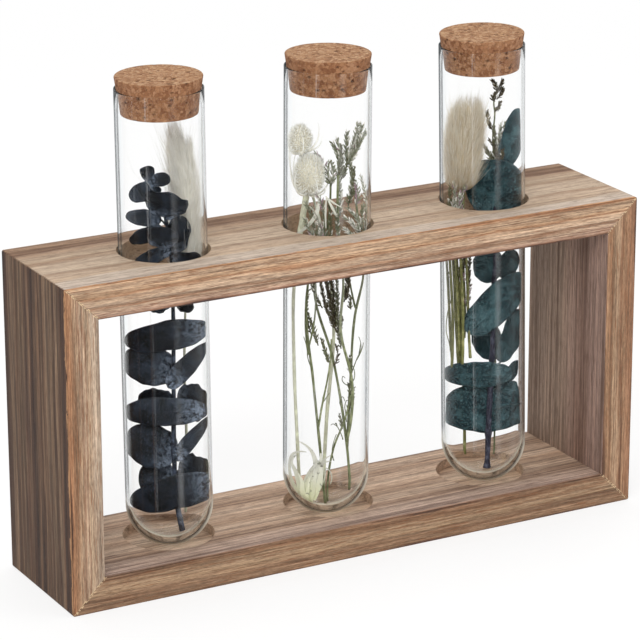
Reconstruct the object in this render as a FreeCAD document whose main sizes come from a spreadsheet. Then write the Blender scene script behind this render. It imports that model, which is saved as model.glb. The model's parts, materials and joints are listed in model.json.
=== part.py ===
import FreeCAD, Part
import math
import os

import Sketcher

# Test tube vase: a low mitred wooden frame that holds three corked glass test tubes of dried flowers.
# The origin is at the middle of the underside. X runs along the frame, Y to the back, Z up.

# Driving sizes in millimetres, angles in degrees.
DRIVING_SIZES = [
    # The wooden frame
    ("frame_width", 300.0),
    ("frame_depth", 69.0),
    ("frame_height", 155.0),
    ("board_thickness", 16.2),
    ("arris_radius", 0.9),
    ("edge_radius", 0.5),
    ("tube_pitch", 85.0),
    ("hole_clearance", 1.2),
    ("recess_depth", 4.9),
    ("dowel_diameter", 5.0),
    ("dowel_length", 13.0),
    ("dowel_gap", 0.05),
    ("dowel_spread", 38.0),
    # The glass tubes
    ("tube_diameter", 40.8),
    ("tube_length", 219.3),
    ("tube_wall", 1.0),
    ("tube_floor", 3.0),
    ("seat_gap", 0.2),
    ("left_seat_offset", 0.8),
    ("middle_seat_offset", -1.5),
    ("right_seat_offset", 2.1),
    ("left_lean", -0.45),
    ("middle_lean", 0.5),
    ("right_lean", -1.1),
    # The corks
    ("cork_height", 17.3),
    ("cork_showing", 5.5),
    ("cork_gap", 0.08),
    ("cork_taper", 8.0),
    ("cork_edge", 0.4),
    # The dried flowers
    ("display_turn", -28.6),
    ("leaf_thickness", 0.5),
    ("leaf_gap", 0.2),
    ("eucalyptus_stem_diameter", 2.7),
    ("pale_stem_diameter", 1.6),
    ("green_stem_diameter", 1.4),
    ("twig_diameter", 0.9),
    ("cut_overrun", 5.0),
]

doc = FreeCAD.newDocument("test_tube_vase")
sheet = doc.addObject("Spreadsheet::Sheet", "Sizes")
for row, (alias, value) in enumerate(DRIVING_SIZES, start=1):
    sheet.set("A%d" % row, alias)
    sheet.set("B%d" % row, repr(value))
    sheet.setAlias("B%d" % row, alias)
doc.recompute()


def size(alias):
    """The value of one named cell."""
    return float(getattr(sheet, alias))


def bind(thing, path, expression):
    """Tie one property to cells; names in braces are cells."""
    thing.setExpression(path, cells(expression))


def cells(expression):
    """Turn {name} into a reference to that cell."""
    return expression.replace("{", "Sizes.").replace("}", "")


def value_of(expression):
    """The number that an expression on the cells gives."""
    return float(sheet.evalExpression(cells(expression)))


# Sketches and bodies

AXIS_Y = FreeCAD.Vector(0, 1, 0)
AXIS_Z = FreeCAD.Vector(0, 0, 1)
ORIGIN_POINT = (-1, 1)
HORIZONTAL_AXIS_INDEX = -1
VERTICAL_AXIS_INDEX = -2

sub_parts = []


def new_body(label):
    """A body that becomes one sub-part."""
    body = doc.addObject("PartDesign::Body", label)
    body.Label = label
    sub_parts.append(body)
    return body


def new_sketch(body, name, role, height="0"):
    """A sketch on one of the body's own origin planes, raised along its normal."""
    sketch = body.newObject("Sketcher::SketchObject", name)
    plane = [face for face in body.Origin.OriginFeatures if face.Role == role][0]
    sketch.AttachmentSupport = [(plane, "")]
    sketch.MapMode = "FlatFace"
    bind(sketch, "AttachmentOffset.Base.z", height)
    return sketch


def pin(sketch, edge, end, x, y):
    """Hold one end of an edge at a place given by two expressions."""
    ways = (("DistanceX", x, VERTICAL_AXIS_INDEX), ("DistanceY", y, HORIZONTAL_AXIS_INDEX))
    for kind, expression, axis in ways:
        if expression == "0":
            sketch.addConstraint(Sketcher.Constraint("PointOnObject", edge, end, axis))
            continue
        rule = Sketcher.Constraint(kind, *ORIGIN_POINT, edge, end, value_of(expression))
        index = sketch.addConstraint(rule)
        bind(sketch, "Constraints[%d]" % index, expression)


def draw_outline(sketch, corners):
    """Draw a closed outline. A corner is (x, y), or (x, y, radius, side) when an arc leaves it.

    The side is +1 when the arc's centre lies left of the way to the next corner, and -1 when right.
    """
    places = [FreeCAD.Vector(value_of(corner[0]), value_of(corner[1]), 0) for corner in corners]
    starts = []
    ends = []
    for number, corner in enumerate(corners):
        here = places[number]
        there = places[(number + 1) % len(places)]
        if len(corner) == 2:
            edge = sketch.addGeometry(Part.LineSegment(here, there))
            starts.append((edge, 1))
            ends.append((edge, 2))
            continue
        radius = value_of(corner[2])
        side = corner[3]
        half = (there - here) / 2
        across = FreeCAD.Vector(-half.y, half.x, 0).normalize()
        reach = math.sqrt(max(radius * radius - half.Length ** 2, 0))
        centre = here + half + across * reach * side
        first, last = (here, there) if side > 0 else (there, here)
        angles = [math.atan2(point.y - centre.y, point.x - centre.x) for point in (first, last)]
        circle = Part.Circle(centre, AXIS_Z, radius)
        edge = sketch.addGeometry(Part.ArcOfCircle(circle, *angles))
        index = sketch.addConstraint(Sketcher.Constraint("Radius", edge, radius))
        bind(sketch, "Constraints[%d]" % index, corner[2])
        starts.append((edge, 1 if side > 0 else 2))
        ends.append((edge, 2 if side > 0 else 1))
    for number, corner in enumerate(corners):
        pin(sketch, *starts[number], corner[0], corner[1])
        sketch.addConstraint(Sketcher.Constraint("Coincident", *ends[number - 1], *starts[number]))


def draw_circle(sketch, x, y, radius):
    """Draw a circle at a place given by expressions."""
    centre = FreeCAD.Vector(value_of(x), value_of(y), 0)
    edge = sketch.addGeometry(Part.Circle(centre, AXIS_Z, value_of(radius)))
    index = sketch.addConstraint(Sketcher.Constraint("Radius", edge, value_of(radius)))
    bind(sketch, "Constraints[%d]" % index, radius)
    pin(sketch, edge, 3, x, y)


def pocket_down(body, sketch, name, depth):
    """Cut the sketch into the body towards its underside and check that it cut something."""
    doc.recompute()
    volume = body.Shape.Volume
    pocket = body.newObject("PartDesign::Pocket", name)
    pocket.Profile = sketch
    pocket.Type = "Length"
    bind(pocket, "Length", depth)
    doc.recompute()
    if body.Shape.Volume >= volume:
        raise RuntimeError("%s cut nothing" % name)


def fillet_edges(body, name, radius, wanted):
    """Round the edges of the body's tip that the test picks."""
    doc.recompute()
    base = body.Tip
    picked = ["Edge%d" % number for number, edge in enumerate(base.Shape.Edges, start=1) if wanted(edge)]
    rounding = body.newObject("PartDesign::Fillet", name)
    rounding.Base = (base, picked)
    bind(rounding, "Radius", radius)
    doc.recompute()


# The wooden frame

# A board lies outer face down. Its ends are cut at 45 degrees, so the inner face is shorter.
SLOPE = math.sqrt(0.5)


def mitred_board(label, length):
    """One board with mitred ends, its long arrises already sanded round."""
    body = new_body(label)
    profile = new_sketch(body, label + "_profile", "XZ_Plane")
    end = "(%s) / 2" % length
    shy = "{arris_radius} * (1 - sqrt(0.5))"
    draw_outline(profile, [
        ("-(%s - {arris_radius})" % end, "0"),
        ("%s - {arris_radius}" % end, "0", "{arris_radius}", 1),
        ("%s - %s" % (end, shy), shy),
        ("%s - {board_thickness}" % end, "{board_thickness}"),
        ("-(%s - {board_thickness})" % end, "{board_thickness}"),
        ("-(%s - %s)" % (end, shy), shy, "{arris_radius}", 1),
    ])
    pad = body.newObject("PartDesign::Pad", label + "_pad")
    pad.Profile = profile
    pad.Midplane = True
    bind(pad, "Length", "{frame_depth}")
    return body


def ease_edges(body):
    """Sand the front and back edges, except along the mitres, where the boards meet."""
    face = size("frame_depth") / 2
    near = size("edge_radius") / 2

    def on_front_or_back(edge):
        """Long level edges that lie in the front or the back face."""
        box = edge.BoundBox
        in_face = box.YLength < near and abs(abs(box.Center.y) - face) < near
        return in_face and box.ZLength < near and box.XLength > size("board_thickness")

    fillet_edges(body, body.Label + "_easing", "{edge_radius}", on_front_or_back)


def dowel_places(length):
    """The middle of each mitre of a board of this length, and the way its dowels point."""
    places = []
    for end in (-1, 1):
        for row in (-1, 1):
            middle = (
                "%d * ((%s) / 2 - {board_thickness} / 2)" % (end, length),
                "%d * {dowel_spread} / 2" % row,
                "{board_thickness} / 2",
            )
            places.append((middle, FreeCAD.Vector(-end * SLOPE, 0, -SLOPE)))
    return places


def set_cylinder(cylinder, middle, way, diameter, length):
    """Size a cylinder and centre it on a place given by expressions, along a direction."""
    bind(cylinder, "Radius", "(%s) / 2" % diameter)
    bind(cylinder, "Height", length)
    cylinder.Placement = FreeCAD.Placement(FreeCAD.Vector(), FreeCAD.Rotation(AXIS_Z, way))
    for axis, centre, share in zip("xyz", middle, way):
        bind(cylinder, "Placement.Base.%s" % axis, "%s - (%s) * (%r) / 2" % (centre, length, share))


def drill_dowel_holes(body, length):
    """Drill the blind holes for the dowels into both mitred ends."""
    for number, (middle, way) in enumerate(dowel_places(length)):
        hole = body.newObject("PartDesign::SubtractiveCylinder", "%s_dowel_hole_%d" % (body.Label, number))
        set_cylinder(hole, middle, way, "{dowel_diameter} + 2 * {dowel_gap}", "{dowel_length} + 2 * {dowel_gap}")


HOLE_RADIUS = "{tube_diameter} / 2 + {hole_clearance}"
HOLE_CENTRES = ["-{tube_pitch}", "0", "{tube_pitch}"]


def make_frame():
    """The four boards, turned so that their mitres meet, and the dowels across the mitres."""
    base = mitred_board("base_board", "{frame_width}")
    ease_edges(base)
    recesses = new_sketch(base, "recess_circles", "XY_Plane", "{board_thickness}")
    for across in HOLE_CENTRES:
        draw_circle(recesses, across, "0", HOLE_RADIUS)
    pocket_down(base, recesses, "tube_recesses", "{recess_depth}")

    top = mitred_board("top_board", "{frame_width}")
    ease_edges(top)
    holes = new_sketch(top, "hole_circles", "XY_Plane", "{board_thickness} + {cut_overrun}")
    for across in HOLE_CENTRES:
        draw_circle(holes, across, "0", HOLE_RADIUS)
    pocket_down(top, holes, "tube_holes", "{board_thickness} + 2 * {cut_overrun}")
    top.Placement.Rotation = FreeCAD.Rotation(AXIS_Y, 180)
    bind(top, "Placement.Base.z", "{frame_height}")

    ends = []
    for label, side in (("left_end_board", -1), ("right_end_board", 1)):
        board = mitred_board(label, "{frame_height}")
        ease_edges(board)
        board.Placement.Rotation = FreeCAD.Rotation(AXIS_Y, -side * 90)
        bind(board, "Placement.Base.x", "%d * {frame_width} / 2" % side)
        bind(board, "Placement.Base.z", "{frame_height} / 2")
        ends.append(board)

    for board, length in ((base, "{frame_width}"), (top, "{frame_width}"),
                          (ends[0], "{frame_height}"), (ends[1], "{frame_height}")):
        drill_dowel_holes(board, length)
    make_dowels()


def make_dowels():
    """Two dowels through each of the four mitres, as one group."""
    dowels = []
    for number, (middle, way) in enumerate(dowel_places("{frame_width}")):
        for level, height in (("lower", "{board_thickness} / 2"), ("upper", "{frame_height} - {board_thickness} / 2")):
            dowel = doc.addObject("Part::Cylinder", "%s_dowel_%d" % (level, number))
            direction = way if level == "lower" else FreeCAD.Vector(way.x, 0, -way.z)
            set_cylinder(dowel, (middle[0], middle[1], height), direction, "{dowel_diameter}", "{dowel_length}")
            dowels.append(dowel)
    group = doc.addObject("Part::Compound", "mitre_dowels")
    group.Links = dowels
    group.Label = "mitre_dowels"
    sub_parts.append(group)


# The glass tubes and their corks, each in the tube's own frame with its origin at the lowest point

TUBES = [("left", -1), ("middle", 0), ("right", 1)]
BORE_RADIUS = "({tube_diameter} / 2 - {tube_wall})"


def stand_in_frame(thing, name, side):
    """Stand a sub-part of a tube in its recess, leaning as its tube leans."""
    thing.Placement = FreeCAD.Placement(FreeCAD.Vector(), FreeCAD.Rotation(AXIS_Y, size(name + "_lean")))
    bind(thing, "Placement.Base.x", "%d * {tube_pitch} + {%s_seat_offset}" % (side, name))
    bind(thing, "Placement.Base.z", "{board_thickness} - {recess_depth} + {seat_gap}")


def revolve(body, sketch):
    """Turn the profile round the body's upright axis."""
    turned = body.newObject("PartDesign::Revolution", body.Label + "_turned")
    turned.Profile = sketch
    turned.ReferenceAxis = (sketch, ["V_Axis"])
    turned.Angle = 360


def make_tube(name, side):
    """A test tube: round bottom, thick floor, straight wall and a rounded rim."""
    body = new_body(name + "_glass_tube")
    profile = new_sketch(body, name + "_tube_profile", "XZ_Plane")
    outer = "{tube_diameter} / 2"
    lip = "{tube_length} - {tube_wall} / 2"
    draw_outline(profile, [
        ("0", "0", outer, 1),
        (outer, outer),
        (outer, lip, "{tube_wall} / 2", 1),
        ("%s - {tube_wall} / 2" % outer, "{tube_length}", "{tube_wall} / 2", 1),
        (BORE_RADIUS, lip),
        (BORE_RADIUS, "{tube_floor} + %s" % BORE_RADIUS, BORE_RADIUS, -1),
        ("0", "{tube_floor}"),
    ])
    revolve(body, profile)
    stand_in_frame(body, name, side)


def make_cork(name, side):
    """A tapered cork that touches the tube only at its rim."""
    body = new_body(name + "_cork_stopper")
    profile = new_sketch(body, name + "_cork_profile", "XZ_Plane")
    at_rim = "(%s - {cork_gap})" % BORE_RADIUS
    slope = "tan({cork_taper} * 1 deg)"
    inside = "({cork_height} - {cork_showing})"
    draw_outline(profile, [
        ("0", "{tube_length} - %s" % inside),
        ("%s - %s * %s" % (at_rim, inside, slope), "{tube_length} - %s" % inside),
        ("%s + {cork_showing} * %s" % (at_rim, slope), "{tube_length} + {cork_showing}"),
        ("0", "{tube_length} + {cork_showing}"),
    ])
    revolve(body, profile)

    def round_edge(edge):
        """The circles round the cork's two faces."""
        return isinstance(edge.Curve, Part.Circle)

    fillet_edges(body, name + "_cork_rounding", "{cork_edge}", round_edge)
    stand_in_frame(body, name, side)


# The dried flowers. Places are shares: across and depth of the bore's radius, height of the tube's length.
# Across runs to the viewer's right and depth away from the viewer, who stands left of the front.

def bore():
    """Inner radius of a tube."""
    return value_of(BORE_RADIUS)


def place(across_share, depth_share, height_share):
    """A point in a tube from its shares."""
    return FreeCAD.Vector(across_share * bore(), depth_share * bore(), height_share * size("tube_length"))


def floor_height(across_share, depth_share, radius):
    """How high the middle of a stem's foot stands so that its edge clears the round floor."""
    reach = math.hypot(across_share, depth_share) * bore() + radius
    dip = math.sqrt(bore() ** 2 - reach ** 2)
    return size("tube_floor") + bore() - dip + size("leaf_gap")


def group_solids(label, name, side, solids):
    """Put grown solids into one sub-part that stands in its tube, turned to the viewer."""
    group = doc.addObject("Part::Feature", label)
    group.Label = label
    group.Shape = Part.makeCompound(solids)
    lean = FreeCAD.Rotation(AXIS_Y, size(name + "_lean"))
    turn = FreeCAD.Rotation(AXIS_Z, size("display_turn"))
    seat = FreeCAD.Vector(
        side * size("tube_pitch") + size(name + "_seat_offset"), 0,
        size("board_thickness") - size("recess_depth") + size("seat_gap"))
    group.Placement = FreeCAD.Placement(seat, lean * turn)
    sub_parts.append(group)


# A stem's thickness is drawn this many times between one of its places and the next, and its height
# at a place is found by halving the search this many times.
STEM_STEPS = 4
HALVING_STEPS = 40


class Stem:
    """A stem through a few places, foot first, with its thickness at the foot and the tip."""

    def __init__(self, shares, diameter, tip_share=0.8, stands=True):
        self.radii = (diameter / 2, diameter / 2 * tip_share)
        self.points = [place(*share) for share in shares]
        if stands:
            self.points[0].z = floor_height(shares[0][0], shares[0][1], diameter / 2)
        self.curve = Part.BSplineCurve()
        self.curve.interpolate(self.points)

    def at_height(self, height):
        """Middle and radius of the stem at a height."""
        low, high = self.curve.FirstParameter, self.curve.LastParameter
        first, last = low, high
        for _ in range(HALVING_STEPS):
            middle = (first + last) / 2
            if self.curve.value(middle).z < height:
                first = middle
            else:
                last = middle
        share = (first - low) / (high - low)
        return self.curve.value(first), self.radii[0] + (self.radii[1] - self.radii[0]) * share

    def solid(self):
        """Short tapering runs through circles that stand square to the stem."""
        count = STEM_STEPS * (len(self.points) - 1) + 1
        low, high = self.curve.FirstParameter, self.curve.LastParameter
        rings = []
        for number in range(count):
            share = number / (count - 1)
            here = low + (high - low) * share
            radius = self.radii[0] + (self.radii[1] - self.radii[0]) * share
            rings.append(ring(self.curve.value(here), self.curve.tangent(here)[0], radius, radius))
        return outward(Part.makeLoft(rings, True, True))


def ring(middle, way, half_width, half_depth):
    """A circle or an ellipse round a point, square to a direction near upright."""
    longer, shorter = max(half_width, half_depth), min(half_width, half_depth)
    if longer == shorter:
        curve = Part.Circle(FreeCAD.Vector(), AXIS_Z, longer)
    else:
        curve = Part.Ellipse(FreeCAD.Vector(), longer, shorter)
    turn = FreeCAD.Rotation(AXIS_Z, 90 if half_depth > half_width else 0)
    wire = Part.Wire([curve.toShape()])
    wire.Placement = FreeCAD.Placement(middle, FreeCAD.Rotation(AXIS_Z, way) * turn)
    return wire


def outward(solid):
    """The same solid with its faces pointing out."""
    if solid.Volume < 0:
        solid.reverse()
    return solid


# A leaf's blade is a round face through rows of points. The rows stand at even turns of half a circle,
# a few degrees short of its ends, so that the root and the tip keep a narrow edge.
LEAF_ROWS = 9
LEAF_COLUMNS = 5
LEAF_END_TURN = 3.0

# How high each ring of a head stands and how full it is, as shares of the head's height and half width.
HEAD_RING_SHARES = [(0, 0.3), (0.12, 0.7), (0.35, 1.0), (0.6, 0.9), (0.85, 0.55), (1.0, 0.15)]


def leaf(stem, height_share, tip_shares, width_share, roll=0.0, cup_share=0.0, bend_share=0.0):
    """A leaf that springs from a stem at a height and ends at a tip.

    The tip lies from the stem by shares of the bore's radius. The roll turns the blade's face round
    its length, away from the viewer. The cup lifts its long edges and the bend its middle, towards
    the viewer, by shares of its width and length.
    """
    middle, stem_radius = stem.at_height(height_share * size("tube_length"))
    first_turn = math.radians(LEAF_END_TURN)
    half_width = width_share * bore() / 2
    offset = FreeCAD.Vector(*tip_shares) * bore()
    level = FreeCAD.Vector(offset.x, offset.y, 0).normalize()
    seat = stem_radius + size("leaf_gap")
    along = (offset - level * seat).normalize()
    toward = AXIS_Y * -1
    face = (toward - along * toward.dot(along)).normalize()
    face = FreeCAD.Rotation(along, roll).multVec(face)
    across = along.cross(face)
    reach = offset.Length * along.dot(level) / 2
    seat += math.hypot(half_width * across.dot(level), reach) - reach
    seat += size("leaf_thickness") / 2 * abs(face.dot(level))
    root = middle + level * seat
    length = (offset - level * seat).Length
    rows = []
    for row in range(LEAF_ROWS):
        turn = first_turn + (math.pi - 2 * first_turn) * row / (LEAF_ROWS - 1)
        run = (math.cos(first_turn) - math.cos(turn)) / (2 * math.cos(first_turn))
        wide = math.sin(turn)
        points = []
        for column in range(LEAF_COLUMNS):
            aside = wide * (2 * column / (LEAF_COLUMNS - 1) - 1)
            rise = cup_share * 2 * half_width * aside ** 2 + bend_share * length * 4 * run * (1 - run)
            points.append(root + along * length * run + across * half_width * aside + face * rise)
        rows.append(points)
    blade = Part.BSplineSurface()
    blade.interpolate(rows)
    shell = blade.toShape()
    shell.translate(face * -(size("leaf_thickness") / 2))
    return outward(shell.extrude(face * size("leaf_thickness")))


def head(stem, half_width_share, half_depth_share, height_share, lean_shares=(0, 0)):
    """A fluffy head or a tuft on the tip of a stem: fullest below its middle, round at both ends."""
    tip_way = stem.curve.tangent(stem.curve.LastParameter)[0]
    tip_edge = stem.radii[1] * math.hypot(tip_way.x, tip_way.y)
    base = stem.points[-1] + AXIS_Z * (tip_edge + size("leaf_gap"))
    tall = height_share * size("tube_length")
    rings = []
    for up_share, full_share in HEAD_RING_SHARES:
        shift = FreeCAD.Vector(lean_shares[0], lean_shares[1], 0) * bore() * up_share
        middle = base + shift + AXIS_Z * tall * up_share
        rings.append(ring(middle, AXIS_Z, half_width_share * bore() * full_share,
                          half_depth_share * bore() * full_share))
    return outward(Part.makeLoft(rings, True, False))


def branch(stem, height_share, points_shares, diameter, tip_share=0.8):
    """A twig that starts beside a stem at a height and passes through places up to its tip."""
    middle, stem_radius = stem.at_height(height_share * size("tube_length"))
    goal = place(*points_shares[0])
    level = FreeCAD.Vector(goal.x - middle.x, goal.y - middle.y, 0).normalize()
    start = middle + level * (stem_radius + diameter / 2 * (1 + SLOPE) + size("leaf_gap"))
    start_share = (start.x / bore(), start.y / bore(), height_share)
    return Stem([start_share] + points_shares, diameter, tip_share, stands=False)


def make_left_flowers(name, side):
    """A dark eucalyptus sprig with a pale grass plume behind it."""
    stem = Stem([(0.32, -0.12, 0.02), (0.18, 0.05, 0.09), (0.14, 0.08, 0.2), (0.17, 0.08, 0.36),
                 (0.2, 0.08, 0.52), (0.18, 0.06, 0.66), (0.12, 0.05, 0.785)],
                size("eucalyptus_stem_diameter"), 0.5)
    group_solids("left_eucalyptus_stem", name, side, [stem.solid()])

    tip_leaves = [
        leaf(stem, 0.780, (-0.52, 0.06, 0.48), 0.26),
        leaf(stem, 0.768, (-0.20, -0.40, 0.64), 0.32),
        leaf(stem, 0.750, (-0.92, -0.10, 0.42), 0.46, -20, 0.06, 0.05),
        leaf(stem, 0.730, (0.02, -0.62, 0.52), 0.90, 0, -0.08, 0.02),
        leaf(stem, 0.712, (-1.02, -0.20, 0.22), 0.42, -30, 0.05, 0.05),
        leaf(stem, 0.672, (-0.94, -0.34, 0.40), 0.50, 0, 0.06, 0.04),
        leaf(stem, 0.662, (-0.44, -0.66, 0.36), 0.42, 0, -0.06, 0.02),
        leaf(stem, 0.648, (0.60, 0.04, 0.90), 0.50, 0, -0.04, 0.02),
    ]
    group_solids("left_eucalyptus_tip_leaves", name, side, tip_leaves)

    middle_leaves = [
        leaf(stem, 0.520, (-0.06, -0.66, 1.44), 1.28, 0, -0.12, 0.04),
        leaf(stem, 0.492, (-1.08, -0.42, -0.58), 0.62, -25, -0.05, 0.10),
        leaf(stem, 0.488, (0.62, -0.46, -0.42), 0.54, 25, -0.04, 0.05),
        leaf(stem, 0.362, (-1.00, -0.42, 0.58), 0.96, 0, -0.04, 0.03),
        leaf(stem, 0.356, (0.76, 0.04, 0.94), 0.60, 82, 0.02, 0.02),
        leaf(stem, 0.340, (-0.80, 0.46, 0.12), 0.46, 60, 0.04, 0.02),
        leaf(stem, 0.302, (-1.06, -0.36, -0.16), 0.60, -25, 0.08, 0.05),
        leaf(stem, 0.298, (0.70, -0.48, -0.06), 0.52, 20, 0.08, 0.05),
        leaf(stem, 0.282, (0.54, 0.36, 1.00), 0.66, -10, 0.04, 0.03),
    ]
    group_solids("left_eucalyptus_middle_leaves", name, side, middle_leaves)

    lower_leaves = [
        leaf(stem, 0.200, (-0.92, -0.46, 0.66), 1.00, 0, -0.04, 0.02),
        leaf(stem, 0.196, (0.78, 0.02, 1.02), 0.66, 82, 0.02, 0.02),
        leaf(stem, 0.112, (-0.06, -0.66, 1.24), 1.62, 0, -0.12, 0.02),
        leaf(stem, 0.100, (-0.90, 0.30, 0.42), 0.74, 20, 0.04, 0.03),
        leaf(stem, 0.090, (0.62, 0.30, 0.46), 0.62, -15, 0.04, 0.02),
    ]
    group_solids("left_eucalyptus_lower_leaves", name, side, lower_leaves)

    plume = Stem([(0.36, 0.62, 0.05), (0.42, 0.66, 0.2), (0.40, 0.66, 0.4), (0.44, 0.56, 0.56),
                  (0.45, 0.48, 0.628)], size("pale_stem_diameter"), 0.6)
    group_solids("left_plume_stem", name, side, [plume.solid()])
    group_solids("left_plume_head", name, side, [head(plume, 0.40, 0.20, 0.285, (-0.18, 0.02))])


def make_middle_flowers(name, side):
    """Two pale seed heads with a statice sprig, a torn leaf and a curled strip."""
    low_seed = Stem([(-0.62, -0.10, 0.04), (-0.68, -0.16, 0.14), (-0.78, -0.18, 0.35), (-0.79, -0.14, 0.51),
                     (-0.62, -0.06, 0.66), (-0.46, 0.0, 0.713)], size("pale_stem_diameter"), 0.8)
    high_seed = Stem([(-0.06, 0.40, 0.03), (0.02, 0.42, 0.2), (0.18, 0.44, 0.41), (-0.16, 0.54, 0.64),
                      (-0.52, 0.48, 0.75), (-0.66, 0.14, 0.808)], size("pale_stem_diameter"), 0.6)
    group_solids("middle_seed_stems", name, side, [low_seed.solid(), high_seed.solid()])
    group_solids("middle_lower_seed_head", name, side, [head(low_seed, 0.36, 0.34, 0.088)])
    group_solids("middle_upper_seed_head", name, side, [head(high_seed, 0.26, 0.26, 0.055, (0, -0.1))])
    group_solids("middle_torn_leaf", name, side,
                 [leaf(low_seed, 0.066, (0.36, -0.60, 1.04), 0.66, -10, -0.04, 0.02)])
    group_solids("middle_curled_strip", name, side,
                 [leaf(low_seed, 0.636, (0.12, -0.44, 0.62), 0.16, -20, 0.0, 0.10)])

    green = size("green_stem_diameter")
    twig = size("twig_diameter")
    front = Stem([(0.0, -0.34, 0.03), (-0.12, -0.36, 0.14), (-0.30, -0.38, 0.3), (-0.48, -0.38, 0.5),
                  (-0.26, -0.38, 0.618)], green)
    main = Stem([(0.62, 0.12, 0.04), (0.52, 0.10, 0.15), (0.18, 0.12, 0.34), (-0.30, 0.16, 0.51),
                 (0.02, 0.18, 0.64), (0.08, 0.16, 0.735)], green)
    bent = branch(main, 0.165, [(0.63, -0.16, 0.30), (0.34, -0.14, 0.42), (0.40, -0.12, 0.52),
                                (0.26, -0.12, 0.66), (0.26, -0.10, 0.762)], green)
    side_stem = branch(main, 0.150, [(0.60, 0.34, 0.28), (0.70, 0.30, 0.44), (0.84, 0.16, 0.54),
                                     (0.72, 0.14, 0.68), (0.70, 0.12, 0.80)], green)
    dark = Stem([(0.10, -0.12, 0.03), (0.24, -0.22, 0.157), (0.46, -0.34, 0.215), (0.52, -0.40, 0.27)], twig)
    narrow_twig = branch(bent, 0.640, [(0.42, -0.24, 0.68), (0.50, -0.30, 0.718)], twig)
    right_twig = branch(side_stem, 0.580, [(0.80, -0.16, 0.62), (0.78, -0.28, 0.686)], twig)
    low_twig = branch(bent, 0.520, [(0.56, -0.34, 0.58), (0.58, -0.38, 0.63)], twig)
    left_dark = branch(front, 0.380, [(-0.24, -0.50, 0.40), (-0.20, -0.54, 0.43)], twig)
    right_dark = branch(bent, 0.360, [(0.30, -0.50, 0.385), (0.24, -0.56, 0.405)], twig)
    centre_dark = branch(main, 0.430, [(0.06, -0.10, 0.462), (0.04, -0.14, 0.478)], twig)
    stems = [front, main, bent, side_stem, dark, narrow_twig, right_twig, low_twig, left_dark, right_dark,
             centre_dark]
    group_solids("middle_statice_stems", name, side, [stem.solid() for stem in stems])
    tufts = [
        head(front, 0.24, 0.20, 0.085),
        head(main, 0.12, 0.12, 0.06),
        head(bent, 0.20, 0.20, 0.071),
        head(side_stem, 0.20, 0.22, 0.068),
        head(narrow_twig, 0.10, 0.10, 0.07),
        head(right_twig, 0.14, 0.15, 0.086),
        head(low_twig, 0.20, 0.16, 0.034),
        head(left_dark, 0.20, 0.18, 0.06),
        head(right_dark, 0.20, 0.18, 0.062),
        head(centre_dark, 0.16, 0.12, 0.055),
    ]
    group_solids("middle_statice_tufts", name, side, tufts)


def make_right_flowers(name, side):
    """A bunny tail, a bundle of thin stems, a statice sprig and a eucalyptus sprig."""
    green = size("green_stem_diameter")
    twig = size("twig_diameter")
    tail = Stem([(-0.48, -0.02, 0.05), (-0.52, -0.04, 0.16), (-0.54, -0.04, 0.3), (-0.54, -0.06, 0.5),
                 (-0.44, -0.05, 0.688)], green)
    group_solids("right_bunny_tail_stem", name, side, [tail.solid()])
    group_solids("right_bunny_tail_head", name, side, [head(tail, 0.51, 0.46, 0.212)])

    bundle = []
    for steps, low_share, high_share in ((-3, 0.30, 0.56), (-2, 0.27, 0.60), (-1, 0.24, 0.58),
                                         (1, 0.31, 0.59), (2, 0.33, 0.57), (3, 0.29, 0.55)):
        shares = []
        for height_share in (low_share, (low_share + high_share) / 2, high_share):
            beside = tail.at_height(height_share * size("tube_length"))[0]
            across = beside.x + steps * (green + size("leaf_gap"))
            shares.append((across / bore(), beside.y / bore(), height_share))
        bundle.append(Stem(shares, green, 0.9, stands=False))
    group_solids("right_stem_bundle", name, side, [stem.solid() for stem in bundle])

    sprig = Stem([(0.30, 0.50, 0.04), (0.34, 0.56, 0.2), (0.36, 0.56, 0.45), (0.40, 0.44, 0.66),
                  (0.30, 0.32, 0.76), (0.36, 0.24, 0.88)], twig)
    low_twig = branch(sprig, 0.640, [(0.10, 0.50, 0.68), (0.0, 0.54, 0.70)], twig)
    cluster_twig = branch(sprig, 0.690, [(0.62, 0.34, 0.73), (0.60, 0.30, 0.75)], twig)
    group_solids("right_statice_stems", name, side, [sprig.solid(), low_twig.solid(), cluster_twig.solid()])
    tufts = [head(sprig, 0.16, 0.16, 0.034), head(low_twig, 0.12, 0.12, 0.05),
             head(cluster_twig, 0.16, 0.16, 0.085)]
    group_solids("right_statice_tufts", name, side, tufts)

    stem = Stem([(0.10, 0.02, 0.02), (0.14, 0.08, 0.12), (0.24, 0.08, 0.3), (0.30, 0.08, 0.5),
                 (0.34, 0.04, 0.66), (0.44, -0.02, 0.735)],
                size("eucalyptus_stem_diameter"), 0.6)
    group_solids("right_eucalyptus_stem", name, side, [stem.solid()])
    upper_leaves = [
        leaf(stem, 0.728, (0.30, -0.30, 1.38), 0.48, 0, 0.04, 0.0),
        leaf(stem, 0.640, (-0.08, -0.74, 1.08), 1.20, 0, -0.06, 0.0),
    ]
    group_solids("right_eucalyptus_upper_leaves", name, side, upper_leaves)
    lower_leaves = [
        leaf(stem, 0.470, (-0.22, -0.50, 0.72), 0.66, 0, -0.05, 0.02),
        leaf(stem, 0.475, (0.54, -0.30, 0.70), 0.40, 15, 0.03, 0.0),
        leaf(stem, 0.356, (0.38, -0.50, 1.08), 0.84, 8, -0.06, 0.0),
        leaf(stem, 0.296, (0.50, 0.30, 0.96), 0.56, -10, 0.04, 0.02),
        leaf(stem, 0.276, (0.02, -0.74, -0.34), 1.30, 0, -0.12, 0.06),
        leaf(stem, 0.120, (-0.14, -0.78, 1.14), 1.40, 0, -0.05, 0.0),
        leaf(stem, 0.110, (0.56, 0.34, 0.92), 0.70, -15, 0.04, 0.02),
    ]
    group_solids("right_eucalyptus_lower_leaves", name, side, lower_leaves)


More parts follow.
